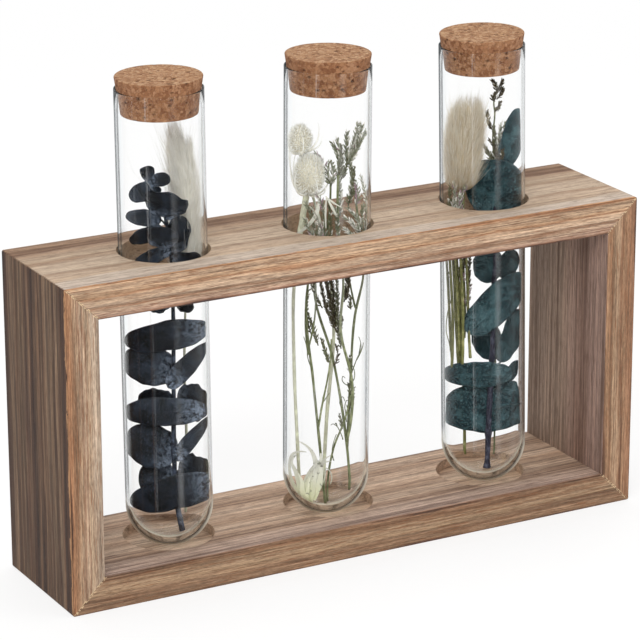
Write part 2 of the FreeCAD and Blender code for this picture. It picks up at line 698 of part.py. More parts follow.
make_frame()
for tube_name, tube_side in TUBES:
    make_tube(tube_name, tube_side)
    make_cork(tube_name, tube_side)
make_left_flowers(*TUBES[0])
make_middle_flowers(*TUBES[1])
make_right_flowers(*TUBES[2])
doc.recompute()

for item in doc.Objects:
    faults = [word for word in item.State if word in ("Invalid", "Error")]
    if faults:
        raise RuntimeError("%s is %s" % (item.Label, faults))
for item in sub_parts:
    if item.Shape.isNull() or not item.Shape.isValid():
        raise RuntimeError("%s has no valid shape" % item.Label)

os.makedirs("parts", exist_ok=True)
for item in sub_parts:
    item.Shape.exportStep(os.path.join("parts", item.Label + ".step"))
    print(item.Label, len(item.Shape.Solids), "solids", round(item.Shape.Volume, 1), "mm3")
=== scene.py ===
# %% [markdown]
# # Test tube vase
#
# The real object is a low wooden frame that holds three corked test tubes of dried flowers.
# The boards, tubes and corks already exist as solids with real sizes and joints. This lesson
# loads them as a fixed frame and gives each piece its looks: wood, cork and glass finishes, and
# leaves, hairs and sprigs that are grown as surfaces from short formulas.

# %% Load the fixed frame
import json
import math

import bpy
import numpy as np
from mathutils import Matrix, Vector


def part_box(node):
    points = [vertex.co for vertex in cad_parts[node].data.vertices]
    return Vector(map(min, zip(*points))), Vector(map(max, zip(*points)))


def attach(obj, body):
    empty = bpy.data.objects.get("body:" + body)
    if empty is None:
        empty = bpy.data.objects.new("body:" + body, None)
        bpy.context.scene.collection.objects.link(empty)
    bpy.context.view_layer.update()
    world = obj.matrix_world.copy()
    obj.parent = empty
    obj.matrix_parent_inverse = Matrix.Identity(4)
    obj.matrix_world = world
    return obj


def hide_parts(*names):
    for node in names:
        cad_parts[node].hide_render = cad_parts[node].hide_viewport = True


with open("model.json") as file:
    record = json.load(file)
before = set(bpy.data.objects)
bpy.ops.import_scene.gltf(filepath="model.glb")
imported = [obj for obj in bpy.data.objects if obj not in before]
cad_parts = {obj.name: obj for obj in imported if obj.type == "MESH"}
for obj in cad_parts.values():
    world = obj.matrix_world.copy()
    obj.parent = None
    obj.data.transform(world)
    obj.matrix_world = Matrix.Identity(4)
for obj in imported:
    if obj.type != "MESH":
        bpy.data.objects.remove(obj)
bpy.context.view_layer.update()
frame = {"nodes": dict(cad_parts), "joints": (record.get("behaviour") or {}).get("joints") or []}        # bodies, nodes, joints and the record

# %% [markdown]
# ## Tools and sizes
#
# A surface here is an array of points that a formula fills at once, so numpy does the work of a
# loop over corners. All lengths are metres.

MM = 0.001

# %% [markdown]
# ## Where each tube stands
#
# A tube lifts straight out along its own axis, and each one leans a little in its loose hole. The
# axis is that of its sliding joint. The lowest point and the length are worked out from the box of
# the glass, so the flowers always stand in the tube that the frame gives.

# %% Measure the tubes
TUBE_NAMES = ("left", "middle", "right")
TUBE_WALL = 1.0 * MM
TUBE_FLOOR = 3.0 * MM
# Places in a tube are counted to the right as it was photographed, from the front left.
VIEW_TURN = math.radians(-28.6)


def tube_axis(name):
    """Unit vector up the tube, read from its sliding joint."""
    joint = [item for item in frame["joints"] if item["name"] == name + "_tube_lift"][0]
    return np.array(joint["axis"], float)


def measure_tube(name):
    """Radius, length, foot and turning matrix of a tube.

    The bottom is a ball of the tube's radius, so the side that the tube leans away from touches the
    box one radius from the ball's middle. The rim is a ring at the other end of the axis.
    """
    low, high = (np.array(corner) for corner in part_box(name + "_glass_tube"))
    axis = tube_axis(name)
    radius = (high[1] - low[1]) / 2
    ball_x = low[0] + radius if axis[0] > 0 else high[0] - radius
    foot = np.array([ball_x - radius * axis[0], 0.0, low[2] + radius - radius * axis[2]])
    lip = TUBE_WALL / 2
    length = (high[2] - foot[2] - lip - (radius - lip) * abs(axis[0])) / axis[2] + lip
    lean = math.atan2(axis[0], axis[2])
    cos_lean, sin_lean = math.cos(lean), math.sin(lean)
    tip_over = np.array([[cos_lean, 0, sin_lean], [0, 1, 0], [-sin_lean, 0, cos_lean]])
    face_view = np.array([[math.cos(VIEW_TURN), -math.sin(VIEW_TURN), 0],
                          [math.sin(VIEW_TURN), math.cos(VIEW_TURN), 0], [0, 0, 1]])
    return {"radius": radius, "length": length, "foot": foot, "turn": tip_over @ face_view}


TUBES = {name: measure_tube(name) for name in TUBE_NAMES}
BORE = TUBES["middle"]["radius"] - TUBE_WALL
TALL = TUBES["middle"]["length"]
for name, tube in TUBES.items():
    print(name, "tube: radius %.2f mm, length %.2f mm" % (tube["radius"] / MM, tube["length"] / MM))

# %% [markdown]
# ## One skin for every grown shape
#
# A stem, a hair, a leaf, a cork and a glass wall are all the same thing to a modeller: rings of
# points, one after another, joined into a closed skin. A leaf's ring is a flat loop, a hair's ring
# is a tiny triangle. Writing the joining once keeps every later piece down to its own formula.

# %% Skins from rings
UP = np.array([0.0, 0.0, 1.0])


def skin(rings, uv=None, tint=0.5):
    """Join rings of points into closed skins.

    rings holds points by skin, by step along it and round the ring. Quads join each ring to the
    next, and a fan of triangles from the ring's middle closes each end. uv has a pair for each
    point, and tint one number for each skin, or one for all of them.
    """
    rings = np.asarray(rings, float)
    count, steps, around = rings.shape[:3]
    foot = rings[:, 0].mean(1, keepdims=True)
    tip = rings[:, -1].mean(1, keepdims=True)
    points = np.concatenate([rings.reshape(count, -1, 3), foot, tip], 1)
    size = steps * around + 2
    start = np.arange(count)[:, None, None] * size
    row = np.arange(steps - 1)[None, :, None] * around
    here = np.arange(around)[None, None, :]
    after = (here + 1) % around
    quads = np.stack(np.broadcast_arrays(
        start + row + here, start + row + after,
        start + row + around + after, start + row + around + here), -1)
    start, here, after = start[:, 0], here[0], after[0]
    last = (steps - 1) * around
    feet = np.stack(np.broadcast_arrays(start + size - 2, start + after, start + here), -1)
    tips = np.stack(np.broadcast_arrays(start + size - 1, start + last + here, start + last + after), -1)
    if uv is None:
        uv = np.zeros(rings.shape[:3] + (2,))
    uv = np.broadcast_to(uv, rings.shape[:3] + (2,))
    uv = np.concatenate([uv.reshape(count, -1, 2), uv[:, 0].mean(1, keepdims=True),
                         uv[:, -1].mean(1, keepdims=True)], 1)
    tints = np.broadcast_to(np.reshape(tint, (-1, 1)), (count, size))
    return {"points": points.reshape(-1, 3), "quads": quads.reshape(-1, 4),
            "fans": np.concatenate([feet.reshape(-1, 3), tips.reshape(-1, 3)]),
            "uv": uv.reshape(-1, 2), "tint": tints.reshape(-1)}


def crosswise(paths, flat_to=None):
    """Two unit vectors square to each path at each place, the first also square to flat_to.

    The way along a path is the difference of its neighbours. The first vector is the way crossed
    with one fixed direction for each path, and the second is the way crossed with the first.
    """
    way = np.gradient(paths, axis=1)
    way = way / np.linalg.norm(way, axis=-1, keepdims=True)
    if flat_to is None:
        mean_way = np.abs((paths[:, -1] - paths[:, 0]))
        flat_to = np.eye(3)[np.argmin(mean_way, axis=-1)]
    fixed = np.broadcast_to(np.asarray(flat_to, float).reshape(-1, 1, 3), way.shape)
    side = np.cross(way, fixed)
    side = side / np.linalg.norm(side, axis=-1, keepdims=True)
    return side, np.cross(way, side)


def rods(paths, radii, sides, squash=1.0, tint=0.5):
    """Round rods along many paths: middle + radius * (cos turn * side + squash * sin turn * lift)."""
    paths = np.asarray(paths, float)
    radii = np.broadcast_to(radii, paths.shape[:2])[..., None, None]
    side, lift = crosswise(paths)
    turn = np.linspace(0, 2 * math.pi, sides, endpoint=False)[:, None]
    ring = np.cos(turn) * side[:, :, None] + squash * np.sin(turn) * lift[:, :, None]
    along = np.linspace(0, 1, paths.shape[1])[None, :, None]
    round_it = np.linspace(0, 1, sides)[None, None, :]
    uv = np.stack(np.broadcast_arrays(along, round_it), -1)
    return skin(paths[:, :, None] + radii * ring, uv, tint)


def smooth_path(places, count):
    """A curve through a few places.

    Each stretch is a cubic whose slope at a place is that of the line between its neighbours, and
    the parameter is the distance along the straight runs.
    """
    places = np.asarray(places, float)
    reach = np.concatenate([[0], np.cumsum(np.linalg.norm(np.diff(places, axis=0), axis=1))])
    slope = np.gradient(places, reach, axis=0, edge_order=min(2, len(places) - 1))
    here = np.linspace(0, reach[-1], count)
    step = np.clip(np.searchsorted(reach, here, side="right") - 1, 0, len(reach) - 2)
    gap = (reach[step + 1] - reach[step])[:, None]
    share = ((here - reach[step])[:, None]) / gap
    square, cube = share ** 2, share ** 3
    return (places[step] * (2 * cube - 3 * square + 1) + slope[step] * gap * (cube - 2 * square + share)
            + places[step + 1] * (3 * square - 2 * cube) + slope[step + 1] * gap * (cube - square))


def into_tube(name, points):
    """Points given as right, away and up in a tube, moved to the tube's real place."""
    return points @ TUBES[name]["turn"].T + TUBES[name]["foot"]


# %% [markdown]
# ## From arrays to an object
#
# A mesh wants three flat lists: corners, the corners of each face, and where each face starts.
# Giving them as whole arrays is much faster than adding faces one by one. The object stays at the
# origin and its place is in its points, as for the solids, so patterns never slide.

# %% Put arrays into a mesh


def put_piece(name, skins, finish, body, replaces):
    """Make one object from many skins, give it a finish, and let it ride on its body."""
    starts = np.cumsum([0] + [len(part["points"]) for part in skins])
    points = np.concatenate([part["points"] for part in skins])
    quads = np.concatenate([part["quads"] + start for part, start in zip(skins, starts)])
    fans = np.concatenate([part["fans"] + start for part, start in zip(skins, starts)])
    corners = np.concatenate([quads.reshape(-1), fans.reshape(-1)]).astype(np.int32)
    sizes = np.concatenate([np.full(len(quads), 4), np.full(len(fans), 3)]).astype(np.int32)
    mesh = bpy.data.meshes.new(name)
    mesh.vertices.add(len(points))
    mesh.vertices.foreach_set("co", points.astype(np.float32).reshape(-1))
    mesh.loops.add(len(corners))
    mesh.loops.foreach_set("vertex_index", corners)
    mesh.polygons.add(len(sizes))
    mesh.polygons.foreach_set("loop_start", (np.cumsum(sizes) - sizes).astype(np.int32))
    mesh.polygons.foreach_set("loop_total", sizes)
    mesh.polygons.foreach_set("use_smooth", np.ones(len(sizes), bool))
    mesh.update(calc_edges=True)
    uv = np.concatenate([part["uv"] for part in skins])[corners]
    mesh.uv_layers.new(name="surface").data.foreach_set("uv", uv.astype(np.float32).reshape(-1))
    tint = np.concatenate([part["tint"] for part in skins]).astype(np.float32)
    mesh.attributes.new("tint", "FLOAT", "POINT").data.foreach_set("value", tint)
    mesh.materials.append(finish)
    piece = bpy.data.objects.new(name, mesh)
    bpy.context.scene.collection.objects.link(piece)
    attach(piece, body)
    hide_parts(*replaces)
    print("%-32s %7d points %7d triangles" % (name, len(points), 2 * len(quads) + len(fans)))


# %% [markdown]
# ## A short way to write finishes
#
# A finish is a graph of small nodes. This helper adds one node for each call and plugs numbers,
# colours or other nodes into its sockets, so a finish reads like a recipe. Colours are written as
# they look on a screen, from 0 to 255, and turned into the light values that the nodes want.

# %% The finish helper


def paint(red, green, blue):
    """Screen colour, 0 to 255, as linear light with full opacity."""
    values = np.array([red, green, blue]) / 255
    return tuple(np.where(values <= 0.04045, values / 12.92, ((values + 0.055) / 1.055) ** 2.4)) + (1.0,)


class Finish:
    """The nodes of one new material, or of a new world."""

    def __init__(self, name, kind="materials"):
        self.owner = getattr(bpy.data, kind).new(name)
        self.owner.use_nodes = True
        self.tree = self.owner.node_tree
        self.tree.nodes.clear()

    def add(self, kind, inputs=(), **settings):
        """Add a node, set its options, and plug values or sockets into its inputs."""
        node = self.tree.nodes.new(kind)
        for key, value in settings.items():
            setattr(node, key, value)
        for key, value in dict(inputs).items():
            if isinstance(value, bpy.types.NodeSocket):
                self.tree.links.new(value, node.inputs[key])
            elif value is not None:
                node.inputs[key].default_value = value
        return node

    def maths(self, operation, first, second=None, third=None):
        """One sum on numbers."""
        return self.add("ShaderNodeMath", {0: first, 1: second, 2: third}, operation=operation).outputs[0]

    def plus(self, first, second):
        """Sum of two numbers."""
        return self.maths("ADD", first, second)

    def minus(self, first, second):
        """Difference of two numbers."""
        return self.maths("SUBTRACT", first, second)

    def times(self, first, second):
        """Product of two numbers."""
        return self.maths("MULTIPLY", first, second)

    def remap(self, value, low, high, to_low=0.0, to_high=1.0, kind="LINEAR"):
        """Turn one range of a number into another, and stop at its ends."""
        inputs = {"Value": value, "From Min": low, "From Max": high, "To Min": to_low, "To Max": to_high}
        return self.add("ShaderNodeMapRange", inputs, interpolation_type=kind).outputs["Result"]

    def mix(self, share, first, second, blend="MIX"):
        """Mix two colours. Sockets 6 and 7 of the node take them, and socket 2 gives the result."""
        inputs = {0: share, 6: first, 7: second}
        return self.add("ShaderNodeMix", inputs, data_type="RGBA", blend_type=blend).outputs[2]

    def scaled(self, colour, factor):
        """A colour made lighter or darker."""
        return self.add("ShaderNodeVectorMath", {0: colour, 3: factor}, operation="SCALE").outputs[0]

    def ramp(self, share, stops):
        """Colours along a line: stops are (place, screen colour)."""
        stops = [(place, paint(*colour)) for place, colour in stops]
        node = self.add("ShaderNodeValToRGB", {"Fac": share})
        band = node.color_ramp
        band.elements[0].position, band.elements[0].color = stops[0]
        band.elements[1].position, band.elements[1].color = stops[-1]
        for place, colour in stops[1:-1]:
            band.elements.new(place).color = colour
        return node.outputs["Color"]

    def stretch(self, vector, scale, turn=(0, 0, 0), shift=(0, 0, 0)):
        """Scale, turn and shift a pattern's coordinates."""
        inputs = {"Vector": vector, "Scale": scale, "Rotation": turn, "Location": shift}
        return self.add("ShaderNodeMapping", inputs).outputs[0]

    def noise(self, vector, scale=1.0, detail=2.0, roughness=0.5, distortion=0.0):
        """Soft random values about one half."""
        inputs = {"Vector": vector, "Scale": scale, "Detail": detail, "Roughness": roughness,
                  "Distortion": distortion}
        return self.add("ShaderNodeTexNoise", inputs).outputs["Fac"]

    def coordinates(self, which="Object"):
        """Coordinates or normal of the object itself."""
        return self.add("ShaderNodeTexCoord").outputs[which]

    def attribute(self, name):
        """A number that the mesh carries at each point."""
        return self.add("ShaderNodeAttribute", attribute_name=name).outputs["Fac"]

    def split(self, vector):
        """The three numbers of a vector."""
        return self.add("ShaderNodeSeparateXYZ", {0: vector}).outputs

    def surface_places(self):
        """The two parameters of a skin, from its UV map, and a zero."""
        return self.split(self.add("ShaderNodeUVMap", uv_map="surface").outputs[0])

    def bump(self, height, distance, strength):
        """Small relief of a height, in metres times the height's value."""
        inputs = {"Height": height, "Distance": distance, "Strength": strength}
        return self.add("ShaderNodeBump", inputs).outputs["Normal"]

    def surface(self, **inputs):
        """The main shader. Words are joined by underscores in the call."""
        named = {key.replace("_", " "): value for key, value in inputs.items()}
        return self.add("ShaderNodeBsdfPrincipled", named).outputs["BSDF"]

    def mix_shaders(self, share, first, second):
        """Mix two shaders."""
        return self.add("ShaderNodeMixShader", {0: share, 1: first, 2: second}).outputs[0]

    def done(self, shader, volume=None):
        """Plug the shader into the output and hand over the material."""
        self.add("ShaderNodeOutputMaterial", {"Surface": shader, "Volume": volume})
        return self.owner


# %% [markdown]
# ## The studio
#
# The photograph has a plain white ground. A strong lamp would bleach the wood, so the lamps stay at
# a plain level, and only what the camera sees of the sky and the floor is made white. The floor
# mixes that white with a real lit surface, which keeps a soft shadow under the frame.

# %% Sky and floor
WHITE = paint(255, 255, 255)
PAPER = paint(245, 244, 243)
SKY_LIGHT = 0.62
FLOOR_RADIUS = 2.6
FLOOR_SIDES = 96
FLOOR_DROP = 0.05 * MM
FLOOR_FADE = (0.35, 1.3)
FLOOR_OWN_LIGHT = 0.72


def seen_directly(finish):
    """One for rays from the camera, a mirror or a glass, zero for light that falls on things."""
    rays = finish.add("ShaderNodeLightPath").outputs
    seen = finish.maths("MAXIMUM", rays["Is Camera Ray"], rays["Is Glossy Ray"])
    return finish.maths("MAXIMUM", seen, rays["Is Transmission Ray"])


def light_falling(finish):
    """One for rays that carry light onto things, zero for rays by which a thing is seen."""
    rays = finish.add("ShaderNodeLightPath").outputs
    return finish.maths("MAXIMUM", rays["Is Shadow Ray"], rays["Is Diffuse Ray"])


def make_sky():
    """White where it is seen, and a plain even light on the object."""
    sky = Finish("studio_sky", "worlds")
    bpy.context.scene.world = sky.owner
    lit = sky.add("ShaderNodeBackground", {"Color": WHITE, "Strength": SKY_LIGHT})
    seen = sky.add("ShaderNodeBackground", {"Color": WHITE, "Strength": 1.0})
    both = sky.mix_shaders(seen_directly(sky), lit.outputs[0], seen.outputs[0])
    sky.add("ShaderNodeOutputWorld", {"Surface": both})


def floor_finish():
    """Lit pale paper near the object that fades into the white of the sky further out."""
    finish = Finish("studio_paper")
    place = finish.coordinates()
    far = finish.add("ShaderNodeVectorMath", {0: place}, operation="LENGTH").outputs["Value"]
    fade = finish.remap(far, *FLOOR_FADE, FLOOR_OWN_LIGHT, 1.0, "SMOOTHSTEP")
    paper = finish.add("ShaderNodeBsdfDiffuse", {"Color": PAPER})
    white = finish.add("ShaderNodeEmission", {"Color": WHITE, "Strength": 1.0})
    share = finish.times(seen_directly(finish), fade)
    return finish.done(finish.mix_shaders(share, paper.outputs[0], white.outputs[0]))


def make_floor():
    """A flat disc just under the frame."""
    turn = np.linspace(0, 2 * math.pi, FLOOR_SIDES, endpoint=False)
    height = np.full(FLOOR_SIDES, -FLOOR_DROP)
    rim = np.stack([FLOOR_RADIUS * np.cos(turn), FLOOR_RADIUS * np.sin(turn), height], -1)
    mesh = bpy.data.meshes.new("studio_floor")
    mesh.from_pydata(rim.tolist(), [], [list(range(len(rim)))])
    mesh.materials.append(floor_finish())
    floor = bpy.data.objects.new("studio_floor", mesh)
    bpy.context.scene.collection.objects.link(floor)


make_sky()
make_floor()
print("sky light %.2f, floor of %.1f m radius" % (SKY_LIGHT, FLOOR_RADIUS))

# %% Lamps
# Each lamp is a large soft sheet: place, point it looks at, size and power in watts.
LAMPS = [
    ("key_lamp", (-1.3, -1.5, 1.7), (0.0, 0.0, 0.08), 1.3, 34.0),
    ("fill_lamp", (1.7, -1.5, 0.9), (0.0, 0.0, 0.08), 1.2, 12.0),
    ("top_lamp", (0.2, 0.5, 2.0), (0.0, 0.0, 0.10), 1.4, 16.0),
]


def look_turn(place, goal):
    """The turn that points an object's minus Z from a place to a goal."""
    return (Vector(goal) - Vector(place)).to_track_quat("-Z", "Y").to_euler()


for name, place, goal, width, power in LAMPS:
    lamp = bpy.data.lights.new(name, "AREA")
    lamp.shape = "RECTANGLE"
    lamp.size = width
    lamp.size_y = width
    lamp.energy = power
    holder = bpy.data.objects.new(name, lamp)
    holder.location = place
    holder.rotation_euler = look_turn(place, goal)
    bpy.context.scene.collection.objects.link(holder)
print("lamps:", len(LAMPS), "power", sum(item[4] for item in LAMPS), "watts")

# %% [markdown]
# ## The camera
#
# The photograph was taken from the left of the front and a little above, with a long lens, so the
# upright edges stay nearly upright. Place, direction and lens were worked out once from the corners
# of the frame in the picture, at 640 by 640 pixels.

# %% The camera
CAMERA_PLACE = (-0.70702, -1.28813, 0.59469)
CAMERA_TURN = -28.62
CAMERA_TILT = -18.352
CAMERA_ROLL = -0.1437
LENS_MM = 185.11
SENSOR_MM = 36.0
NEAREST, FARTHEST = 0.05, 20.0


def make_camera():
    """A camera that looks along +Y, then tilts, turns and rolls about its own line of sight."""
    data = bpy.data.cameras.new("photo_camera")
    data.lens = LENS_MM
    data.sensor_width = SENSOR_MM
    data.clip_start, data.clip_end = NEAREST, FARTHEST
    camera = bpy.data.objects.new("photo_camera", data)
    turned = (Matrix.Rotation(math.radians(CAMERA_TURN), 4, "Z")
              @ Matrix.Rotation(math.radians(90 + CAMERA_TILT), 4, "X")
              @ Matrix.Rotation(math.radians(CAMERA_ROLL), 4, "Z"))
    camera.matrix_world = Matrix.Translation(CAMERA_PLACE) @ turned
    bpy.context.scene.collection.objects.link(camera)
    bpy.context.scene.camera = camera


make_camera()
bpy.context.scene.view_settings.view_transform = "Standard"
print("camera at", CAMERA_PLACE, "with a lens of", LENS_MM, "mm")

# %% [markdown]
# ## Brushed wood
#
# The boards are a light, soft wood that was brushed and stained. Long streaks run along each board,
# the sawn front edges are rough and golden, the wide faces are smoother and greyer. A picture of
# wood could be wrapped on, but it would repeat and show its seams. Here the colour comes from where
# a point lies in the board: a row of streak colours across each face, bent by slow noise. Broad
# veins, fine fibres, pores and golden frays behind the front arris lie over it. Each board is
# turned so that its own length is the first axis and its outer face is the top.

# %% Streaks of each face, from the front to the back or from the outer to the inner side
TOP_FACE = [(0.0, (134, 93, 71)), (0.008, (158, 118, 92)), (0.016, (186, 169, 154)),
            (0.15, (190, 173, 156)), (0.178, (181, 157, 133)), (0.3, (179, 156, 134)),
            (0.335, (150, 123, 99)), (0.37, (183, 162, 140)), (0.55, (180, 158, 136)),
            (0.62, (146, 119, 95)), (0.66, (172, 150, 127)), (0.78, (156, 129, 105)),
            (0.825, (92, 62, 43)), (0.86, (130, 101, 78)), (0.9, (104, 75, 54)), (0.93, (146, 117, 93)),
            (1.0, (142, 114, 92))]
TOP_EDGE = [(0.0, (114, 78, 56)), (0.035, (162, 116, 82)), (0.075, (187, 154, 124)),
            (0.2, (187, 157, 129)), (0.32, (173, 140, 110)), (0.38, (152, 113, 84)),
            (0.44, (181, 151, 124)), (0.6, (187, 160, 135)), (0.68, (158, 120, 93)),
            (0.74, (183, 155, 130)), (0.9, (177, 145, 124)), (0.95, (148, 111, 89)),
            (0.985, (91, 64, 54)), (1.0, (61, 45, 43))]
LEFT_FACE = [(0.0, (52, 31, 21)), (0.03, (80, 54, 38)), (0.07, (48, 28, 18)), (0.11, (84, 60, 43)),
             (0.16, (114, 92, 72)), (0.2, (54, 33, 22)), (0.235, (98, 76, 57)), (0.3, (106, 84, 65)),
             (0.36, (80, 58, 42)), (0.41, (104, 80, 60)), (0.45, (42, 23, 14)), (0.49, (96, 72, 53)),
             (0.53, (40, 22, 13)), (0.58, (70, 46, 31)), (0.62, (100, 76, 57)), (0.66, (60, 38, 26)),
             (0.72, (106, 84, 64)), (0.8, (78, 56, 40)), (0.88, (108, 86, 67)), (0.95, (66, 43, 30)),
             (1.0, (46, 27, 18))]
LEFT_EDGE = [(0.0, (86, 60, 47)), (0.05, (150, 108, 78)), (0.2, (162, 124, 94)), (0.32, (175, 147, 120)),
             (0.38, (141, 110, 88)), (0.45, (173, 148, 124)), (0.52, (133, 104, 83)),
             (0.58, (167, 143, 118)), (0.7, (158, 134, 112)), (0.76, (173, 152, 131)),
             (0.95, (167, 147, 128)), (1.0, (122, 100, 86))]
RIGHT_FACE = [(0.0, (112, 86, 68)), (0.2, (136, 110, 90)), (0.4, (110, 86, 68)), (0.6, (134, 110, 90)),
              (0.8, (118, 92, 74)), (1.0, (96, 72, 58))]
RIGHT_EDGE = [(0.0, (90, 64, 50)), (0.05, (130, 95, 72)), (0.25, (149, 112, 85)), (0.33, (165, 130, 100)),
              (0.38, (113, 79, 57)), (0.44, (150, 117, 91)), (0.55, (173, 142, 114)),
              (0.7, (165, 135, 107)), (0.78, (137, 101, 74)), (0.88, (158, 123, 94)),
              (0.95, (105, 75, 55)), (1.0, (75, 50, 39))]
END_INSIDE = [(0.0, (149, 123, 111)), (0.2, (139, 113, 101)), (0.3, (123, 95, 81)), (0.4, (141, 115, 101)),
              (0.6, (133, 111, 95)), (0.8, (143, 121, 105)), (1.0, (135, 113, 97))]
BASE_INSIDE = [(0.0, (134, 98, 74)), (0.03, (180, 154, 139)), (0.18, (186, 160, 142)),
               (0.25, (162, 132, 110)), (0.35, (188, 162, 140)), (0.5, (170, 140, 116)),
               (0.62, (190, 164, 142)), (0.8, (164, 134, 111)), (0.9, (188, 162, 140)),
               (1.0, (168, 140, 119))]
BASE_EDGE = [(0.0, (81, 57, 46)), (0.04, (130, 101, 77)), (0.2, (148, 118, 93)), (0.3, (123, 94, 71)),
             (0.36, (148, 118, 93)), (0.5, (157, 129, 101)), (0.62, (162, 134, 107)),
             (0.7, (132, 101, 76)), (0.76, (158, 130, 103)), (0.84, (132, 101, 76)),
             (0.9, (111, 82, 60)), (0.95, (143, 111, 86)), (0.985, (92, 66, 50)), (1.0, (70, 50, 40))]
PLAIN_BROWN = [(0.0, (150, 120, 96)), (0.5, (166, 138, 112)), (1.0, (146, 116, 92))]

# %% Faces of a board
HALF_WIDTH, HALF_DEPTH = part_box("base_board")[1][:2]
FRAME_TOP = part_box("top_board")[1][2]
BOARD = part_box("left_end_board")[1][0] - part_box("left_end_board")[0][0]
DEPTH_MM = HALF_DEPTH / MM
BOARD_MM = BOARD / MM
# Parts of the normal between which a face counts as turned to one side.
FACES = (0.55, 0.8)
# Millimetres behind the front plane where the wood of the edge gives way to that of the face.
EDGE_ENDS = (0.75, 0.45)
# How far slow and flame-like noise shift the row of colours, as shares of the face.
SLOW_SHIFT, FLAME_SHIFT = 0.055, 0.02
# How much more they shift it on the edge, and how much less at the very front of a face.
EDGE_SHIFT, FRONT_SHIFT = 2.2, 0.12
print("board thickness %.1f mm, frame %.0f by %.0f by %.0f mm" % (
    BOARD_MM, 2 * HALF_WIDTH / MM, 2 * DEPTH_MM, FRAME_TOP / MM))


def grain(wood, place, squeeze, detail, roughness, shift=(0, 0, 0), curl=0.0):
    """Noise squeezed by three numbers: along the grain, from front to back, and into the board."""
    return wood.noise(wood.stretch(place, squeeze, shift=shift), 1.0, detail, roughness, curl)


def face_colours(wood, board, facing, outer, edge, inner):
    """Colour by face, and how much a point lies on the outer face and on an edge.

    The row of colours is read at the distance across the face plus noise stretched along the
    grain.
    """
    _, depth, rise = wood.split(board)
    slow = grain(wood, board, (0.006, 0.10, 0.10), 3.0, 0.55)
    flame = grain(wood, board, (0.035, 0.35, 0.35), 4.0, 0.6, curl=0.4)
    bend = wood.plus(wood.remap(slow, 0.25, 0.75, -SLOW_SHIFT, SLOW_SHIFT),
                     wood.remap(flame, 0.25, 0.75, -FLAME_SHIFT, FLAME_SHIFT))
    from_front = wood.remap(depth, -DEPTH_MM, -DEPTH_MM + 0.6 * BOARD_MM, FRONT_SHIFT, 1.0)
    face_place = wood.plus(wood.remap(depth, -DEPTH_MM, DEPTH_MM), wood.times(bend, from_front))
    edge_place = wood.plus(wood.remap(rise, 0, -BOARD_MM), wood.times(bend, EDGE_SHIFT))
    is_outer = wood.remap(facing[2], *FACES)
    in_front = wood.remap(wood.maths("ABSOLUTE", depth), DEPTH_MM - EDGE_ENDS[0], DEPTH_MM - EDGE_ENDS[1])
    is_edge = wood.times(wood.remap(wood.maths("ABSOLUTE", facing[1]), *FACES), in_front)
    colour = wood.mix(is_outer, wood.ramp(face_place, inner), wood.ramp(face_place, outer))
    return wood.mix(is_edge, colour, wood.ramp(edge_place, edge)), is_outer, is_edge


# %% Fibres, veins, frays and mitres
VEIN_BROWN = paint(92, 60, 42)
FRAY_GOLD = paint(188, 140, 98)
FACE_PORE = paint(90, 60, 43)
EDGE_PORE = paint(132, 84, 52)
CHIP_PALE = paint(226, 198, 158)
SEAM_BROWN = paint(78, 54, 40)
EDGE_STREAKY = 0.26
EDGE_ROUGH = 0.85
# Width in millimetres of the strip behind the front arris where the saw left frayed golden wood.
ARRIS = 3.0
FRAY_LIMIT = 1.08
FRAY_SHARE = 0.75
SEAM_SHARE = 0.8
WOOD_RELIEF = 0.28 * MM


def fibre_shade(wood, fibre, grit, is_edge):
    """Light and dark of the fibres: fibre + grit, gentle on the faces and rough on the edges."""
    gentle = wood.plus(wood.remap(fibre, 0.3, 0.7, 0.72, 1.26), wood.remap(grit, 0.3, 0.7, -0.16, 0.16))
    rough = wood.plus(wood.remap(fibre, 0.34, 0.66, 0.64, 1.24), wood.remap(grit, 0.3, 0.7, -0.38, 0.30))
    share = wood.times(is_edge, EDGE_ROUGH)
    return wood.plus(wood.times(gentle, wood.minus(1.0, share)), wood.times(rough, share))


def veined(wood, board, colour, is_edge, streaky, vein_pitch):
    """Broad veins about a vein pitch in millimetres apart: colour * (1 + streaky * vein)."""
    veins = grain(wood, board, (0.005, 1 / vein_pitch, 1 / vein_pitch), 5.0, 0.78, (3, 9, 5))
    amount = wood.remap(is_edge, 0.0, 1.0, streaky, EDGE_STREAKY)
    shade = wood.maths("MULTIPLY_ADD", wood.remap(veins, 0.41, 0.60, 0.9, -1.1), amount, 1.0)
    return wood.mix(wood.remap(veins, 0.57, 0.64, 0.0, 0.5), wood.scaled(colour, shade), VEIN_BROWN)


def frayed(wood, board, colour, is_outer):
    """Golden frays on the outer face, most of them in the strip behind the front arris."""
    frays = grain(wood, board, (0.10, 0.7, 0.7), 3.0, 0.6, (1, 2, 8))
    from_front = wood.remap(wood.split(board)[1], -DEPTH_MM, -DEPTH_MM + ARRIS, 0.72, 0.30)
    torn = wood.maths("GREATER_THAN", wood.plus(frays, from_front), FRAY_LIMIT)
    return wood.mix(wood.times(wood.times(torn, is_outer), FRAY_SHARE), colour, FRAY_GOLD)


